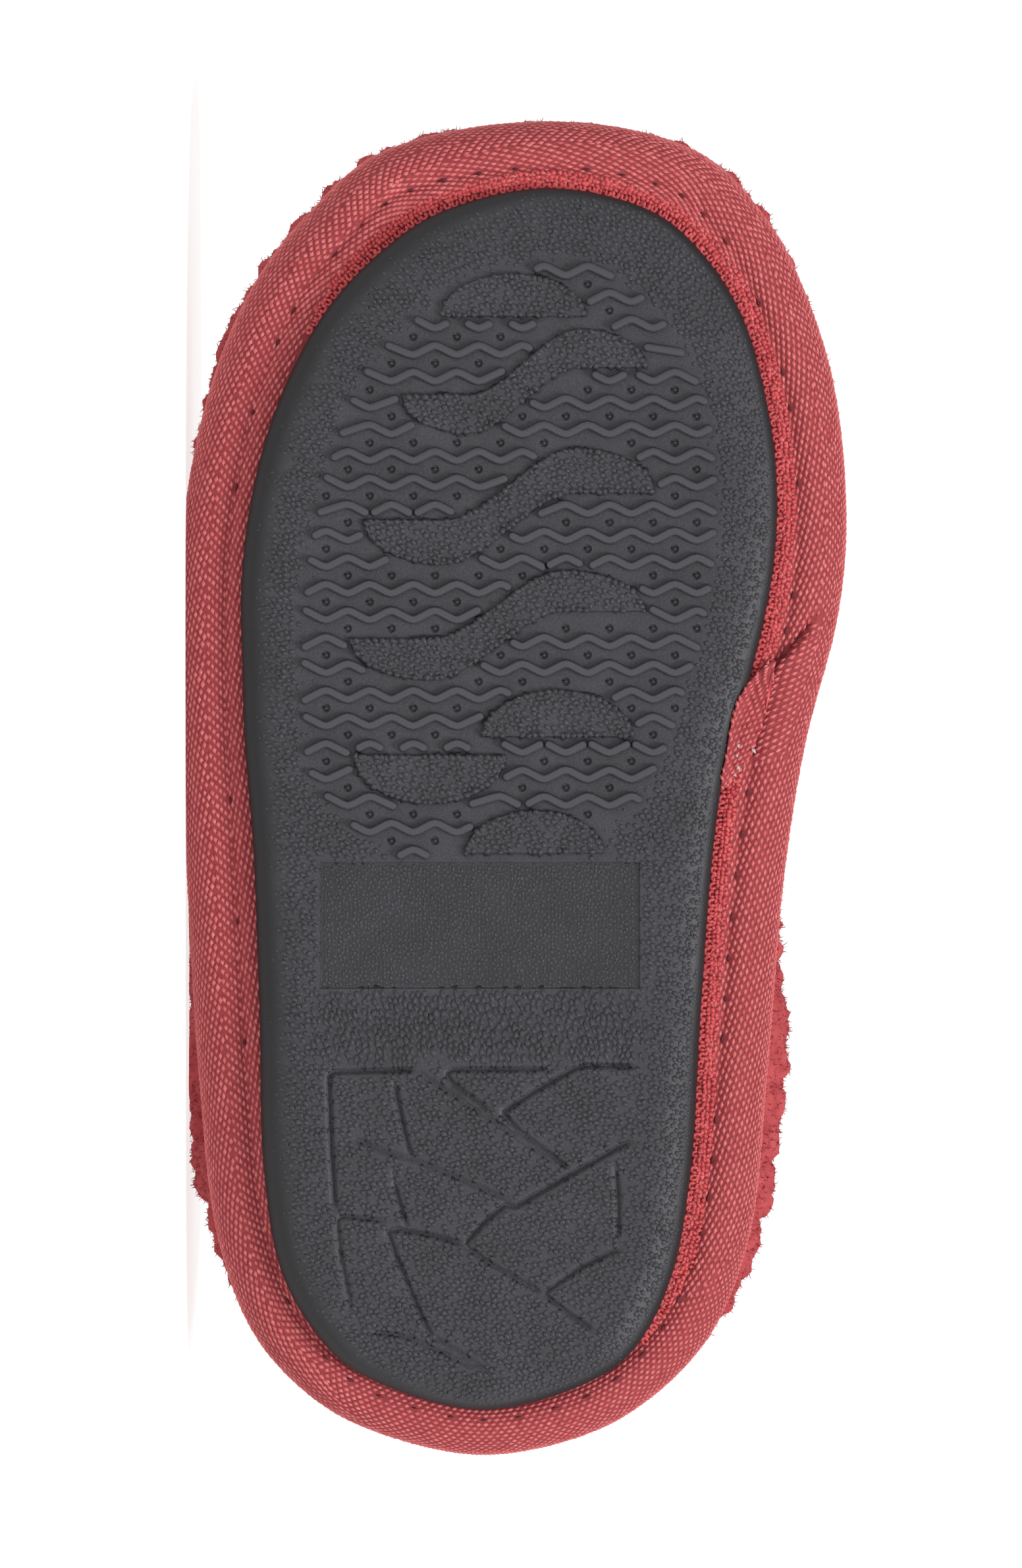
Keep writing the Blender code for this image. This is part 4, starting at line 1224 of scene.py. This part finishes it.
def turnParts(turnDeg):
    return math.cos(math.radians(turnDeg)), math.sin(math.radians(turnDeg))


def sewn(name, spots, runs, outs, sizes, shape, values, material):
    piece = meshPiece(name, spots, [], [])
    pointValues(piece, "threadRun", runs, "FLOAT_VECTOR")
    pointValues(piece, "threadOut", outs, "FLOAT_VECTOR")
    pointValues(piece, "threadSize", sizes, "FLOAT_VECTOR")
    grown(piece, sewnThreads, {
        "Shape": shape, "Unevenness": values["unevenness"], "Seed": values["seed"],
    }, material)
    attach(piece, "root")
    print(name, len(piece.data.polygons), "faces")
    return piece


def makeTape():
    grid, profile, arcs, edge, length = tapeGrid()
    count = band["points"]
    backs = [(inset(edge, depth), np.full(count, up)) for depth, up in band["back"]]
    rings = [*grid, *(toFrame(loop[:, 0], loop[:, 1], up) for loop, up in backs)]
    faces = ringFaces(len(rings), count) + closingFaces(len(rings), count)
    # the tape's body is the cloth between the floats, painted dark as their shade
    piece = meshPiece("bindingTape", np.vstack(rings), faces, [twillGround], band["sharpDeg"])
    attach(piece, "root")
    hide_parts("binding_band")
    print("tape", len(faces), "faces")
    return grid, profile, arcs, length


def columnAt(alongLength, length):
    return alongLength / length * band["points"]


def insetRow(profile, depth):  # row of the tape's underside at an inset
    rows = band["undersideRows"]
    return float(np.interp(-depth, -profile[:rows, 0], np.arange(rows)))


def zoneOf(lane, place, length):  # which of the weaves shows, for lanes counted from the row of stitches
    share = place / length % 1.0
    drift = sum(far * smoothStep(start, end, share) for far, start, end in weave["drifts"])
    zone = (lane - drift) % weave["zonePeriod"]
    width = np.where(share < band["toeShare"], *weave["backWidths"])
    turn = (share + (lane - weave["heelLane"]) * weave["heelSlant"] / length) % 1.0
    heel = (turn > weave["heel"][0]) | (turn < weave["heel"][1])
    return np.where(heel, "dots", np.where(zone < width, "back", "steep"))


def heelShare(share):  # 1 at the back of the heel, 0 from its sides on
    return smoothStep(*reversed(stitches["heelSpan"]), np.minimum(share % 1.0, 1 - share % 1.0))


def stitchInset(share):
    return stitches["inset"] + (stitches["heelInset"] - stitches["inset"]) * heelShare(share)


def stitchesShown(length):
    number = int(round(length / stitches["pitch"]))
    share = np.arange(number) / number
    odds = np.where(share < band["toeShare"], *stitches["shown"][:2])
    odds = np.where(heelShare(share) > 0.5, stitches["shown"][2], odds)
    return np.random.default_rng(stitches["seed"]).random(number) < odds


def weaveFloats(grid, profile, arcs, length):
    numbers = np.arange(len(arcs))
    valley = np.interp(insetRow(profile, stitches["inset"]), numbers, arcs)
    first = np.interp(insetRow(profile, weave["firstInset"]), numbers, arcs)
    lanes, places, leans, sizes = [], [], [], []
    for name, kind in weave["kinds"].items():
        perLane = int(round(length / kind["pitch"]))
        starts = np.arange(first, arcs[-1] - weave["lastRoom"], kind["lane"])
        lane, place = np.meshgrid(starts, np.arange(perLane) * length / perLane, indexing="ij")
        lane, place = lane.ravel(), (place + lane * kind["slope"]).ravel()
        kept = zoneOf(lane - valley, place, length) == name
        lanes.append(lane[kept])
        places.append(place[kept])
        leans.append(np.full(kept.sum(), kind["lean"]))
        sizes.append(sameSize(kind["size"], kept.sum()))
    lane, place, lean, sizes = (np.concatenate(part) for part in (lanes, places, leans, sizes))
    rows = np.interp(lane, arcs, numbers)
    spots, along, up, out = gridFrame(grid, rows, columnAt(place, length))
    depths, heights, share, past = lapPlace(profile, rows, spots)
    under = (depths < lap["threadInset"]) & (heights < lap["highest"])
    inLap = (share > -lap["endRoom"]) & (share < 1.0) & (depths > lap["outerInset"][0]) & under
    inGroove = (np.abs(past) < lap["grooveBare"]) & (depths > lap["grooveInset"]) & (share > 0) & under
    shown = stitchesShown(length)
    stitchTurn = place / length * len(shown)
    nearStitch = np.abs(stitchTurn - np.round(stitchTurn)) * stitches["pitch"] < stitches["size"][0] / 2
    nearStitch &= shown[np.round(stitchTurn).astype(int) % len(shown)]
    inStitch = nearStitch & (np.abs(depths - stitchInset(place / length)) < stitches["clear"])
    inStitch &= heights < stitches["highest"]
    keep = ~inLap & ~inGroove & ~inStitch
    lapRows, lapColumns = lapLattice(profile, arcs, length, grid)
    lapSpots, lapAlong, lapUp, lapOut = gridFrame(grid, lapRows, lapColumns)
    a, b = turnParts(weave["lap"]["turnDeg"])
    leaning = along + up * lean[:, None]
    spots = np.vstack([spots[keep], lapSpots])
    runs = np.vstack([leaning[keep], -lapAlong * a + lapUp * b])
    outs = np.vstack([out[keep], lapOut])
    sizes = np.vstack([sizes[keep], sameSize(weave["lap"]["size"], len(lapSpots))])
    sewn("twillFloats", spots + outs * weave["lift"] * mm, runs, outs, sizes, yarnFloat, weave, twillYarn)


def lapLattice(profile, arcs, length, grid):  # the same weave turned, over the lap only
    middleAlong, middleInset = lap["middle"]
    middleRow = insetRow(profile, middleInset)
    ringAlong, ringAcross = fromFrame(grid[int(round(middleRow))])
    near = np.where((ringAcross > 0) & (np.abs(ringAlong - middleAlong) < lap["middleReach"]))[0]
    middle = near.mean() * length / band["points"]
    centre = float(np.interp(middleRow, np.arange(len(arcs)), arcs))
    kind = weave["lap"]
    a, b = turnParts(kind["turnDeg"])
    lanes, steps = np.meshgrid(*(np.arange(-reach, reach + 1) for reach in weave["lapReach"]), indexing="ij")
    run = steps * kind["pitch"] + lanes * kind["lane"] * kind["slope"]
    side = lanes * kind["lane"]
    places = (middle - run * a + side * b).ravel()
    climbs = (centre + run * b + side * a).ravel()
    inside = (climbs > lap["edgeRoom"]) & (climbs < arcs[-1] - lap["edgeRoom"])
    places, climbs = places[inside], climbs[inside]
    rows = np.interp(climbs, arcs, np.arange(len(arcs)))
    columns = columnAt(places, length)
    depths, heights, share, past = lapPlace(profile, rows, gridSpot(grid, rows, columns))
    keep = (share > 0) & (past < -lap["creaseRoom"]) & (heights < lap["highest"])
    keep &= (depths < lap["threadInset"]) & (depths > lap["outerInset"][0])
    return rows[keep], columns[keep]


def makeStitches(grid, profile, length):
    shown = stitchesShown(length)
    share = np.arange(len(shown)) / len(shown)
    rows = np.array([insetRow(profile, depth) for depth in stitchInset(share)])
    spots, runs, _, outs = (part[shown] for part in gridFrame(grid, rows, share * band["points"]))
    spots = spots + outs * stitches["lift"] * mm
    sizes = sameSize(stitches["size"], len(spots))
    # the stitches' dark tone is painted shade of their stitch holes
    sewn("bandStitches", spots, runs, outs, sizes, yarnFloat, stitches, stitchThread)


def makeSelvedge():
    edge, length = footOutline(sole, selvedge["points"])
    outward = -inwardOf(edge)
    chance = np.random.default_rng(selvedge["seed"])
    shapes = {"loop": yarnLoop, "float": yarnFloat}
    for number, (name, away, pitch, size, turnDeg, shape) in enumerate(selvedge["rows"]):
        later = number * selvedge["stagger"]
        total = int(round(length / pitch))
        picked = np.round(np.arange(total) * len(edge) / total).astype(int) % len(edge)
        spot, side = edge[picked] + outward[picked] * away, outward[picked]
        shown = (spot[:, 1] > 0) & (spot[:, 0] > selvedge["innerFrom"] + later)
        shown |= spot[:, 0] > selvedge["outerFrom"] + later
        spot, side = spot[shown], side[shown]
        places = toFrame(spot[:, 0], spot[:, 1], np.full(len(spot), selvedge["height"]))
        turns = np.arctan2(side[:, 1], -side[:, 0]) + math.radians(turnDeg)
        turns += chance.uniform(-1, 1, len(side)) * selvedge["jitter"]
        runs = np.stack([np.cos(turns), np.zeros(len(side)), np.sin(turns)], 1)
        places += chance.normal(0, selvedge["shiftMm"] * mm, places.shape)
        outs = np.tile((0.0, -1.0, 0.0), (len(spot), 1))
        sizes = sameSize(size, len(spot))
        sewn(name, places, runs, outs, sizes, shapes[shape], selvedge, selvedgeYarn)


grid, profile, arcs, tapeLength = makeTape()
weaveFloats(grid, profile, arcs, tapeLength)
makeSelvedge()
makeStitches(grid, profile, tapeLength)

# End of the tape, lapped over the outsole's edge at the inner waist, with a loose thread and glue flecks
flap = {
    "rows": (  # along and across of the left edge, then of the right edge
        (98.0, 33.2, 98.0, 33.9), (96.2, 31.3, 96.6, 33.7), (93.7, 29.5, 93.1, 33.1),
        (90.7, 28.5, 89.1, 31.9), (86.0, 27.7, 85.8, 30.5), (83.6, 27.2, 84.2, 29.3),
        (82.3, 27.4, 82.6, 28.0),
    ),
    "long": 28,
    "wide": 9,
    "thick": 0.4,
    "crown": 0.22,
    "bedded": 0.15,  # how far its back lies in the rim
    "overhang": (0.7, 1.0),  # past the rim it slopes back this much, over this far
    "length": 17.5,
    "laneWidth": 0.5,
    "laneEnds": (0.4, 1.2),  # rows left free at its two ends
    "laneStart": -0.2,
    "laneShift": 0.37,
    "floatTurnDeg": 62.0,
    "floatPitch": 0.95,
    "floatEnds": (0.02, 0.98),  # shares of the way across
    "narrowest": 0.1,
    "probe": 0.4,
    "unevenness": 0.15,
    "seed": 23,
    "thread": ((98.2, 33.7), (89.5, 32.3)),
    "threadThick": 0.32,
    "threadLift": 0.55,
    "flecks": (  # along, across, size
        (87.6, 29.3, 0.8), (86.4, 29.1, 0.6), (84.9, 29.3, 0.7), (84.0, 28.9, 0.5), (87.0, 31.2, 0.9),
    ),
    "fleckShape": (1.2, 0.7, 0.5),
    "fleckRun": (0.8, 0.0, 0.6),
    "fleckLift": 0.72,
}


def rimHeight(spot, edge):  # height of the outsole's rim under a spot, carried on a little past its edge
    away = distanceTo(edge, spot)
    if not insideLoop(edge, spot):
        slope, reach = flap["overhang"]
        return sole["treadDepth"] + sole["rimRise"] + slope * min(away, reach)
    share = 1 - min(away / float(tableValue(sole["rimWidths"], spot[0])), 1.0)
    return sole["treadDepth"] + sole["rimRise"] * (1 - math.sqrt(1 - share * share))


def onRim(spots, edge, lift):  # spots in the frame, this far off the rim
    return toFrame(spots[:, 0], spots[:, 1], np.array([rimHeight(spot, edge) - lift for spot in spots]))


def flapFaces(long, wide):  # front, back and the rim between them
    faces = []
    back = long * wide
    for r in range(long - 1):
        for c in range(wide - 1):
            i = r * wide + c
            faces.append((i, i + 1, i + wide + 1, i + wide))
            faces.append(tuple(back + k for k in (i, i + wide, i + wide + 1, i + 1)))
    rim = list(range(wide)) + [r * wide + wide - 1 for r in range(1, long)]
    rim += [(long - 1) * wide + c for c in reversed(range(wide - 1))]
    rim += [r * wide for r in reversed(range(1, long - 1))]
    return faces + [(a, b, back + b, back + a) for a, b in zip(rim, rim[1:] + rim[:1])]


def makeFlap():
    edge, _ = footOutline(sole, sole["points"])
    long, wide = flap["long"], flap["wide"]
    line, _ = spaced(openSpline(np.array(flap["rows"])), long, closed=False)
    shares = np.linspace(0, 1, wide)
    flat = line[:, None, :2] * (1 - shares)[None, :, None] + line[:, None, 2:] * shares[None, :, None]
    heights = np.array([[rimHeight(spot, edge) for spot in row] for row in flat])
    crown = flap["crown"] * (1 - (2 * shares - 1) ** 2)[None, :]
    front = toFrame(flat[..., 0], flat[..., 1], heights - flap["thick"] - crown)
    back = toFrame(flat[..., 0], flat[..., 1], heights + flap["bedded"])
    points = np.vstack([front.reshape(-1, 3), back.reshape(-1, 3)])
    # the flap's cloth takes the same tone, painted shade between its floats
    piece = meshPiece("lapFlap", points, flapFaces(long, wide), [twillGround])
    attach(piece, "root")
    rows, columns = [], []
    start, end = flap["laneEnds"]
    step = flap["laneWidth"] * (long - 1) / flap["length"]
    for lane, row in enumerate(np.arange(start, long - end, step)):
        width = np.linalg.norm(flat[int(row), -1] - flat[int(row), 0])
        shift = flap["laneStart"] + (lane * flap["laneShift"]) % flap["floatPitch"]
        places = np.arange(shift, width, flap["floatPitch"]) / max(width, flap["narrowest"])
        rows.append(np.full(len(places), row))
        columns.append(np.clip(places, *flap["floatEnds"]) * (wide - 1))
    spots, side, down, _ = gridFrame(front, np.concatenate(rows), np.concatenate(columns), flap["probe"])
    out = np.cross(side, down)
    out *= np.where(out[:, 1:2] > 0, -1.0, 1.0)
    a, b = turnParts(flap["floatTurnDeg"])
    sizes = sameSize(weave["lap"]["size"], len(spots))
    sewn("lapFloats", spots, side * a - down * b, out, sizes, yarnFloat, flap, twillYarn)
    tips = onRim(np.array(flap["thread"]), edge, flap["threadLift"])
    run = tips[1] - tips[0]
    size = (np.linalg.norm(run), flap["threadThick"] * mm, flap["threadThick"] * mm)
    middle = tips.mean(axis=0)
    sewn("lapThread", [middle], [run / size[0]], [(0, -1, 0)], [size], yarnFloat, flap, selvedgeYarn)
    flecks = np.array(flap["flecks"])
    spots = onRim(flecks[:, :2], edge, flap["fleckLift"])
    sizes = flecks[:, 2:] * np.array(flap["fleckShape"]) * mm
    runs = np.tile(flap["fleckRun"], (len(spots), 1))
    outs = np.tile((0.0, -1.0, 0.0), (len(spots), 1))
    piece = sewn("glueFlecks", spots, runs, outs, sizes, yarnFloat, flap, clearGlue)


makeFlap()

# Upper: fleece shell with nubs and a short pile, pinched in at the band
upper = {
    "points": 600,
    "wall": 3.0,
    "collarSwell": 1.0,
    "footHeights": (7.0, 11.0),
    "footInset": 4.3,
    "pinch": 14.7,
    "belly": 23.0,
    "collarCentre": (47.0, -1.5),
    "collarHalf": (36.0, 26.0),
    "quarterHeight": 47.0,
    "frontRise": 11.0,
    "backRise": 7.0,
    "fullness": (1.8, 2.6),  # at the quarters, at the toe
    "flare": (  # along, outer side, inner side
        (0.0, -3.0, -3.0), (14.0, -1.0, -0.5), (30.0, 0.9, 1.6), (40.0, 1.1, 1.9), (52.0, 0.9, 2.0),
        (58.0, 0.6, 0.8), (66.0, 0.3, 0.0), (82.0, 0.0, -0.2), (110.0, 0.1, -0.35), (135.0, 0.2, 0.15),
        (150.0, 0.25, 0.3), (165.0, 0.15, 0.15),
    ),
    "flareRows": 15,
    "domeRows": 80,
    "rimRows": 8,
    "innerStep": 5,
    "nubSize": 3.3,
    "nubRise": 2.1,
    "nubWidth": 0.85,
    "nubMiddle": 0.55,  # part of a nub that lies below the wall's own surface
    "nubFrom": (-2.0, 1.5),  # the nubs grow in between these heights about the pinch
    "curlSize": 1.5,
    "curlRise": 0.4,
    "innerNubRise": 0.6,
    "tuck": (  # along, outer side, inner side
        (0.0, 0.2, 0.2), (12.0, 0.0, 0.0), (64.0, 0.0, 0.0), (80.0, 0.8, 1.1), (118.0, 0.6, 1.2),
        (138.0, 0.0, 0.8), (152.0, -0.1, 0.1), (165.0, 0.1, 0.1),
    ),
    "tuckHeights": (28.0, 36.0),  # the tuck behind the band fades out between these heights
    "swellSize": 14.0,
    "swellRise": 0.5,
}
pile = {
    "length": 0.8,
    "thick": 0.14,  # thicker than real wool, so that the fibres show
    "bend": 0.8,
    "fields": {  # fibres to the square metre, seed
        "fleecePileLow": (2.2e6, 3),
        "fleecePileTop": (0.8e6, 5),
        "liningPile": (0.8e6, 7),
        "footbedPile": (0.5e6, 11),
    },
    "lean": 1.3,
    "shortest": 0.4,
    "from": 0.3,  # share of a nub's height at which the fibres start
    "bandHeight": 27.0,
    "liningHeight": 26.0,
}


def sideValue(table, spots):  # column 1 on the outer side, column 2 on the inner side
    outer, inner = (tableValue(table, spots[..., 0], column) for column in (1, 2))
    return np.where(spots[..., 1] < 0, outer, inner)


def upperRows():
    edge, _ = footOutline(band, upper["points"])
    normal = inwardOf(edge)
    flare = sideValue(upper["flare"], edge)[:, None]
    foot = upper["footInset"]
    rows = [(edge + normal * foot, np.full(len(edge), up)) for up in upper["footHeights"]]
    for share in np.linspace(0, 1, upper["flareRows"]):
        depth = foot - (foot + flare) * math.sin(math.pi / 2 * share)
        height = upper["pinch"] + (upper["belly"] - upper["pinch"]) * share
        rows.append((edge + normal * depth, np.full(len(edge), height)))
    belly = edge - normal * flare
    centre, half = np.array(upper["collarCentre"]), np.array(upper["collarHalf"])
    way = edge - centre
    way = way / np.linalg.norm(way, axis=1, keepdims=True)
    collar = centre + way / np.linalg.norm(way / half, axis=1, keepdims=True)
    forward, backward = np.maximum(way[:, 0], 0), np.maximum(-way[:, 0], 0)
    collarHeight = upper["quarterHeight"] + upper["frontRise"] * forward ** 1.5
    collarHeight += upper["backRise"] * backward ** 2
    low, high = upper["fullness"]
    fullness = (low + (high - low) * forward ** 2)[:, None]
    for share in np.linspace(0, 1, upper["domeRows"] + 1)[1:]:
        spot = belly + (collar - belly) * share ** fullness
        rows.append((spot, upper["belly"] + (collarHeight - upper["belly"]) * share))
    return np.array([np.column_stack([spot, up]) for spot, up in rows])


def nubs(points, size, rise, swell):  # how far each point stands out: round nubs with creases between
    lift = np.empty(len(points))
    for i, (x, y, z) in enumerate(points.tolist()):
        near = noise.voronoi((x / size, y / size, z / size))[0][0]
        curl = noise.noise((x / upper["curlSize"], y / upper["curlSize"], z / upper["curlSize"]))
        broad = noise.noise((x / upper["swellSize"], y / upper["swellSize"], z / upper["swellSize"]))
        nub = math.sqrt(max(0.0, 1 - (near / upper["nubWidth"]) ** 2)) - upper["nubMiddle"]
        lift[i] = rise * (nub + upper["curlRise"] * curl) + swell * broad
    return lift


def makeUpper():
    rows = upperRows()
    count = upper["points"]
    run = np.roll(rows, -1, axis=1) - np.roll(rows, 1, axis=1)
    rise = np.gradient(rows, axis=0)
    outward = np.cross(run, rise)
    outward[:len(upper["footHeights"]), :, 2] = 0.0
    outward = outward / np.linalg.norm(outward, axis=2, keepdims=True)
    firstDome = len(rows) - upper["domeRows"]
    climb = np.clip((np.arange(len(rows)) - firstDome) / (upper["domeRows"] - 1), 0, 1)
    walls = upper["wall"] + upper["collarSwell"] * climb ** 3
    within = rows - outward * walls[:, None, None]
    lift = rows[-1] - rows[-3]
    lift = lift / np.linalg.norm(lift, axis=1, keepdims=True) * walls[-1] / 2
    turns = np.linspace(0, math.pi, upper["rimRows"] + 2)[1:-1]
    middle, half = (rows[-1] + within[-1]) / 2, (rows[-1] - within[-1]) / 2
    rim = np.array([middle + half * math.cos(a) + lift * math.sin(a) for a in turns])
    rimOut = rim - middle
    rimOut = rimOut / np.linalg.norm(rimOut, axis=2, keepdims=True)
    back = within[::-1][::upper["innerStep"]]
    backOut = -outward[::-1][::upper["innerStep"]]
    loops = np.concatenate([rows, rim, back])
    ways = np.concatenate([outward, rimOut, backOut])
    flat = loops.reshape(-1, 3)
    stand = nubs(flat, upper["nubSize"], 1.0, 0.0).reshape(len(loops), count)
    broad = nubs(flat, upper["nubSize"], 0.0, upper["swellRise"]).reshape(len(loops), count)
    height = loops[..., 2]
    grownIn = smoothStep(*(upper["pinch"] + offset for offset in upper["nubFrom"]), height)
    isBack = (np.arange(len(loops)) >= len(rows) + len(rim))[:, None]
    amount = np.where(isBack, upper["innerNubRise"], upper["nubRise"]) * grownIn
    tuck = sideValue(upper["tuck"], loops) * (1 - smoothStep(*upper["tuckHeights"], height)) * grownIn
    tuck = np.where(isBack, 0.0, tuck)
    moved = loops + ways * (stand * amount + broad * grownIn - tuck)[..., None]
    frameSpots = toFrame(moved[..., 0], moved[..., 1], moved[..., 2])
    faces = ringFaces(len(loops), count) + closingFaces(len(loops), count)
    piece = meshPiece("fleeceUpper", frameSpots.reshape(-1, 3), faces, [shearlingFleece, liningFleece])
    backStart = (len(rows) + len(rim)) * count
    for face in piece.data.polygons:
        face.material_index = int(min(face.vertices) >= backStart)
    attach(piece, "root")
    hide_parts("upper")
    print("upper", len(faces), "faces")
    visible = (grownIn > pile["from"]) & ~isBack
    low = visible & (height < pile["bandHeight"])
    lining = isBack & (height > pile["liningHeight"])
    return piece, low.ravel(), (visible & ~low).ravel(), lining.ravel()


def growPile(name, base, places, material):
    density, seed = pile["fields"][name]
    piece = bpy.data.objects.new(name, base.data.copy())
    bpy.context.scene.collection.objects.link(piece)
    pointValues(piece, "pile", places)
    grown(piece, fleecePile, {
        "Shape": fleeceFibre, "Density": density, "Lean": pile["lean"], "Shortest": pile["shortest"],
        "Seed": seed,
    }, material)
    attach(piece, "root")
    print(name, len(piece.data.polygons), "faces")


fleeceFibre = fibreShape(pile["length"] * mm, pile["thick"] * mm, pile["bend"])
shell, lowPile, topPile, liningPile = makeUpper()
growPile("fleecePileLow", shell, lowPile, shearlingFleece)
growPile("fleecePileTop", shell, topPile, shearlingFleece)
growPile("liningPile", shell, liningPile, liningFleece)

# Footbed: padded, fleece covered and a little crowned
footbed = {
    "points": 300,
    "profile": ((14.5, 3.5), (10.8, 7.0), (7.3, 7.0), (6.9, 9.8), (6.9, 11.0), (7.6, 11.3)),  # inset, height
    "spine": (34.0, 128.0),
    "topRows": 16,
    "topReach": 0.96,  # the last row stops this far on the way to the spine
    "crown": 0.5,
    "nubRise": 0.5,
    "swellRise": 0.2,
    "sharpDeg": 60.0,
}


def makeFootbed():
    edge, _ = footOutline(band, footbed["points"])
    count = footbed["points"]
    loops = [np.column_stack([inset(edge, depth), np.full(count, up)]) for depth, up in footbed["profile"]]
    border = loops[-1]
    along = np.clip(border[:, 0], *footbed["spine"])
    sections = np.array(band["sections"])
    middle = (tableValue(sections, along, 2) - tableValue(sections, along, 1)) / 2
    spine = np.column_stack([along, middle, np.full(count, border[0, 2] + footbed["crown"])])
    for share in np.linspace(0, footbed["topReach"], footbed["topRows"])[1:]:
        loop = border + (spine - border) * share
        loop[:, 2] = border[:, 2] + footbed["crown"] * math.sin(math.pi / 2 * share)
        loop[:, 2] += nubs(loop, upper["nubSize"], footbed["nubRise"], footbed["swellRise"])
        loops.append(loop)
    points = toFrame(*np.vstack(loops).T)
    faces = ringFaces(len(loops), count)
    for start, loop in ((0, loops[0]), ((len(loops) - 1) * count, loops[-1])):
        faces += capFaces(loop[:, :2], start)
    piece = meshPiece("fleeceFootbed", points, faces, [liningFleece], footbed["sharpDeg"])
    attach(piece, "root")
    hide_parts("insole")
    places = (np.arange(len(loops)) >= len(footbed["profile"])).repeat(count) * 1.0
    growPile("footbedPile", piece, places, liningFleece)
    print("footbed", len(faces), "faces")


makeFootbed()
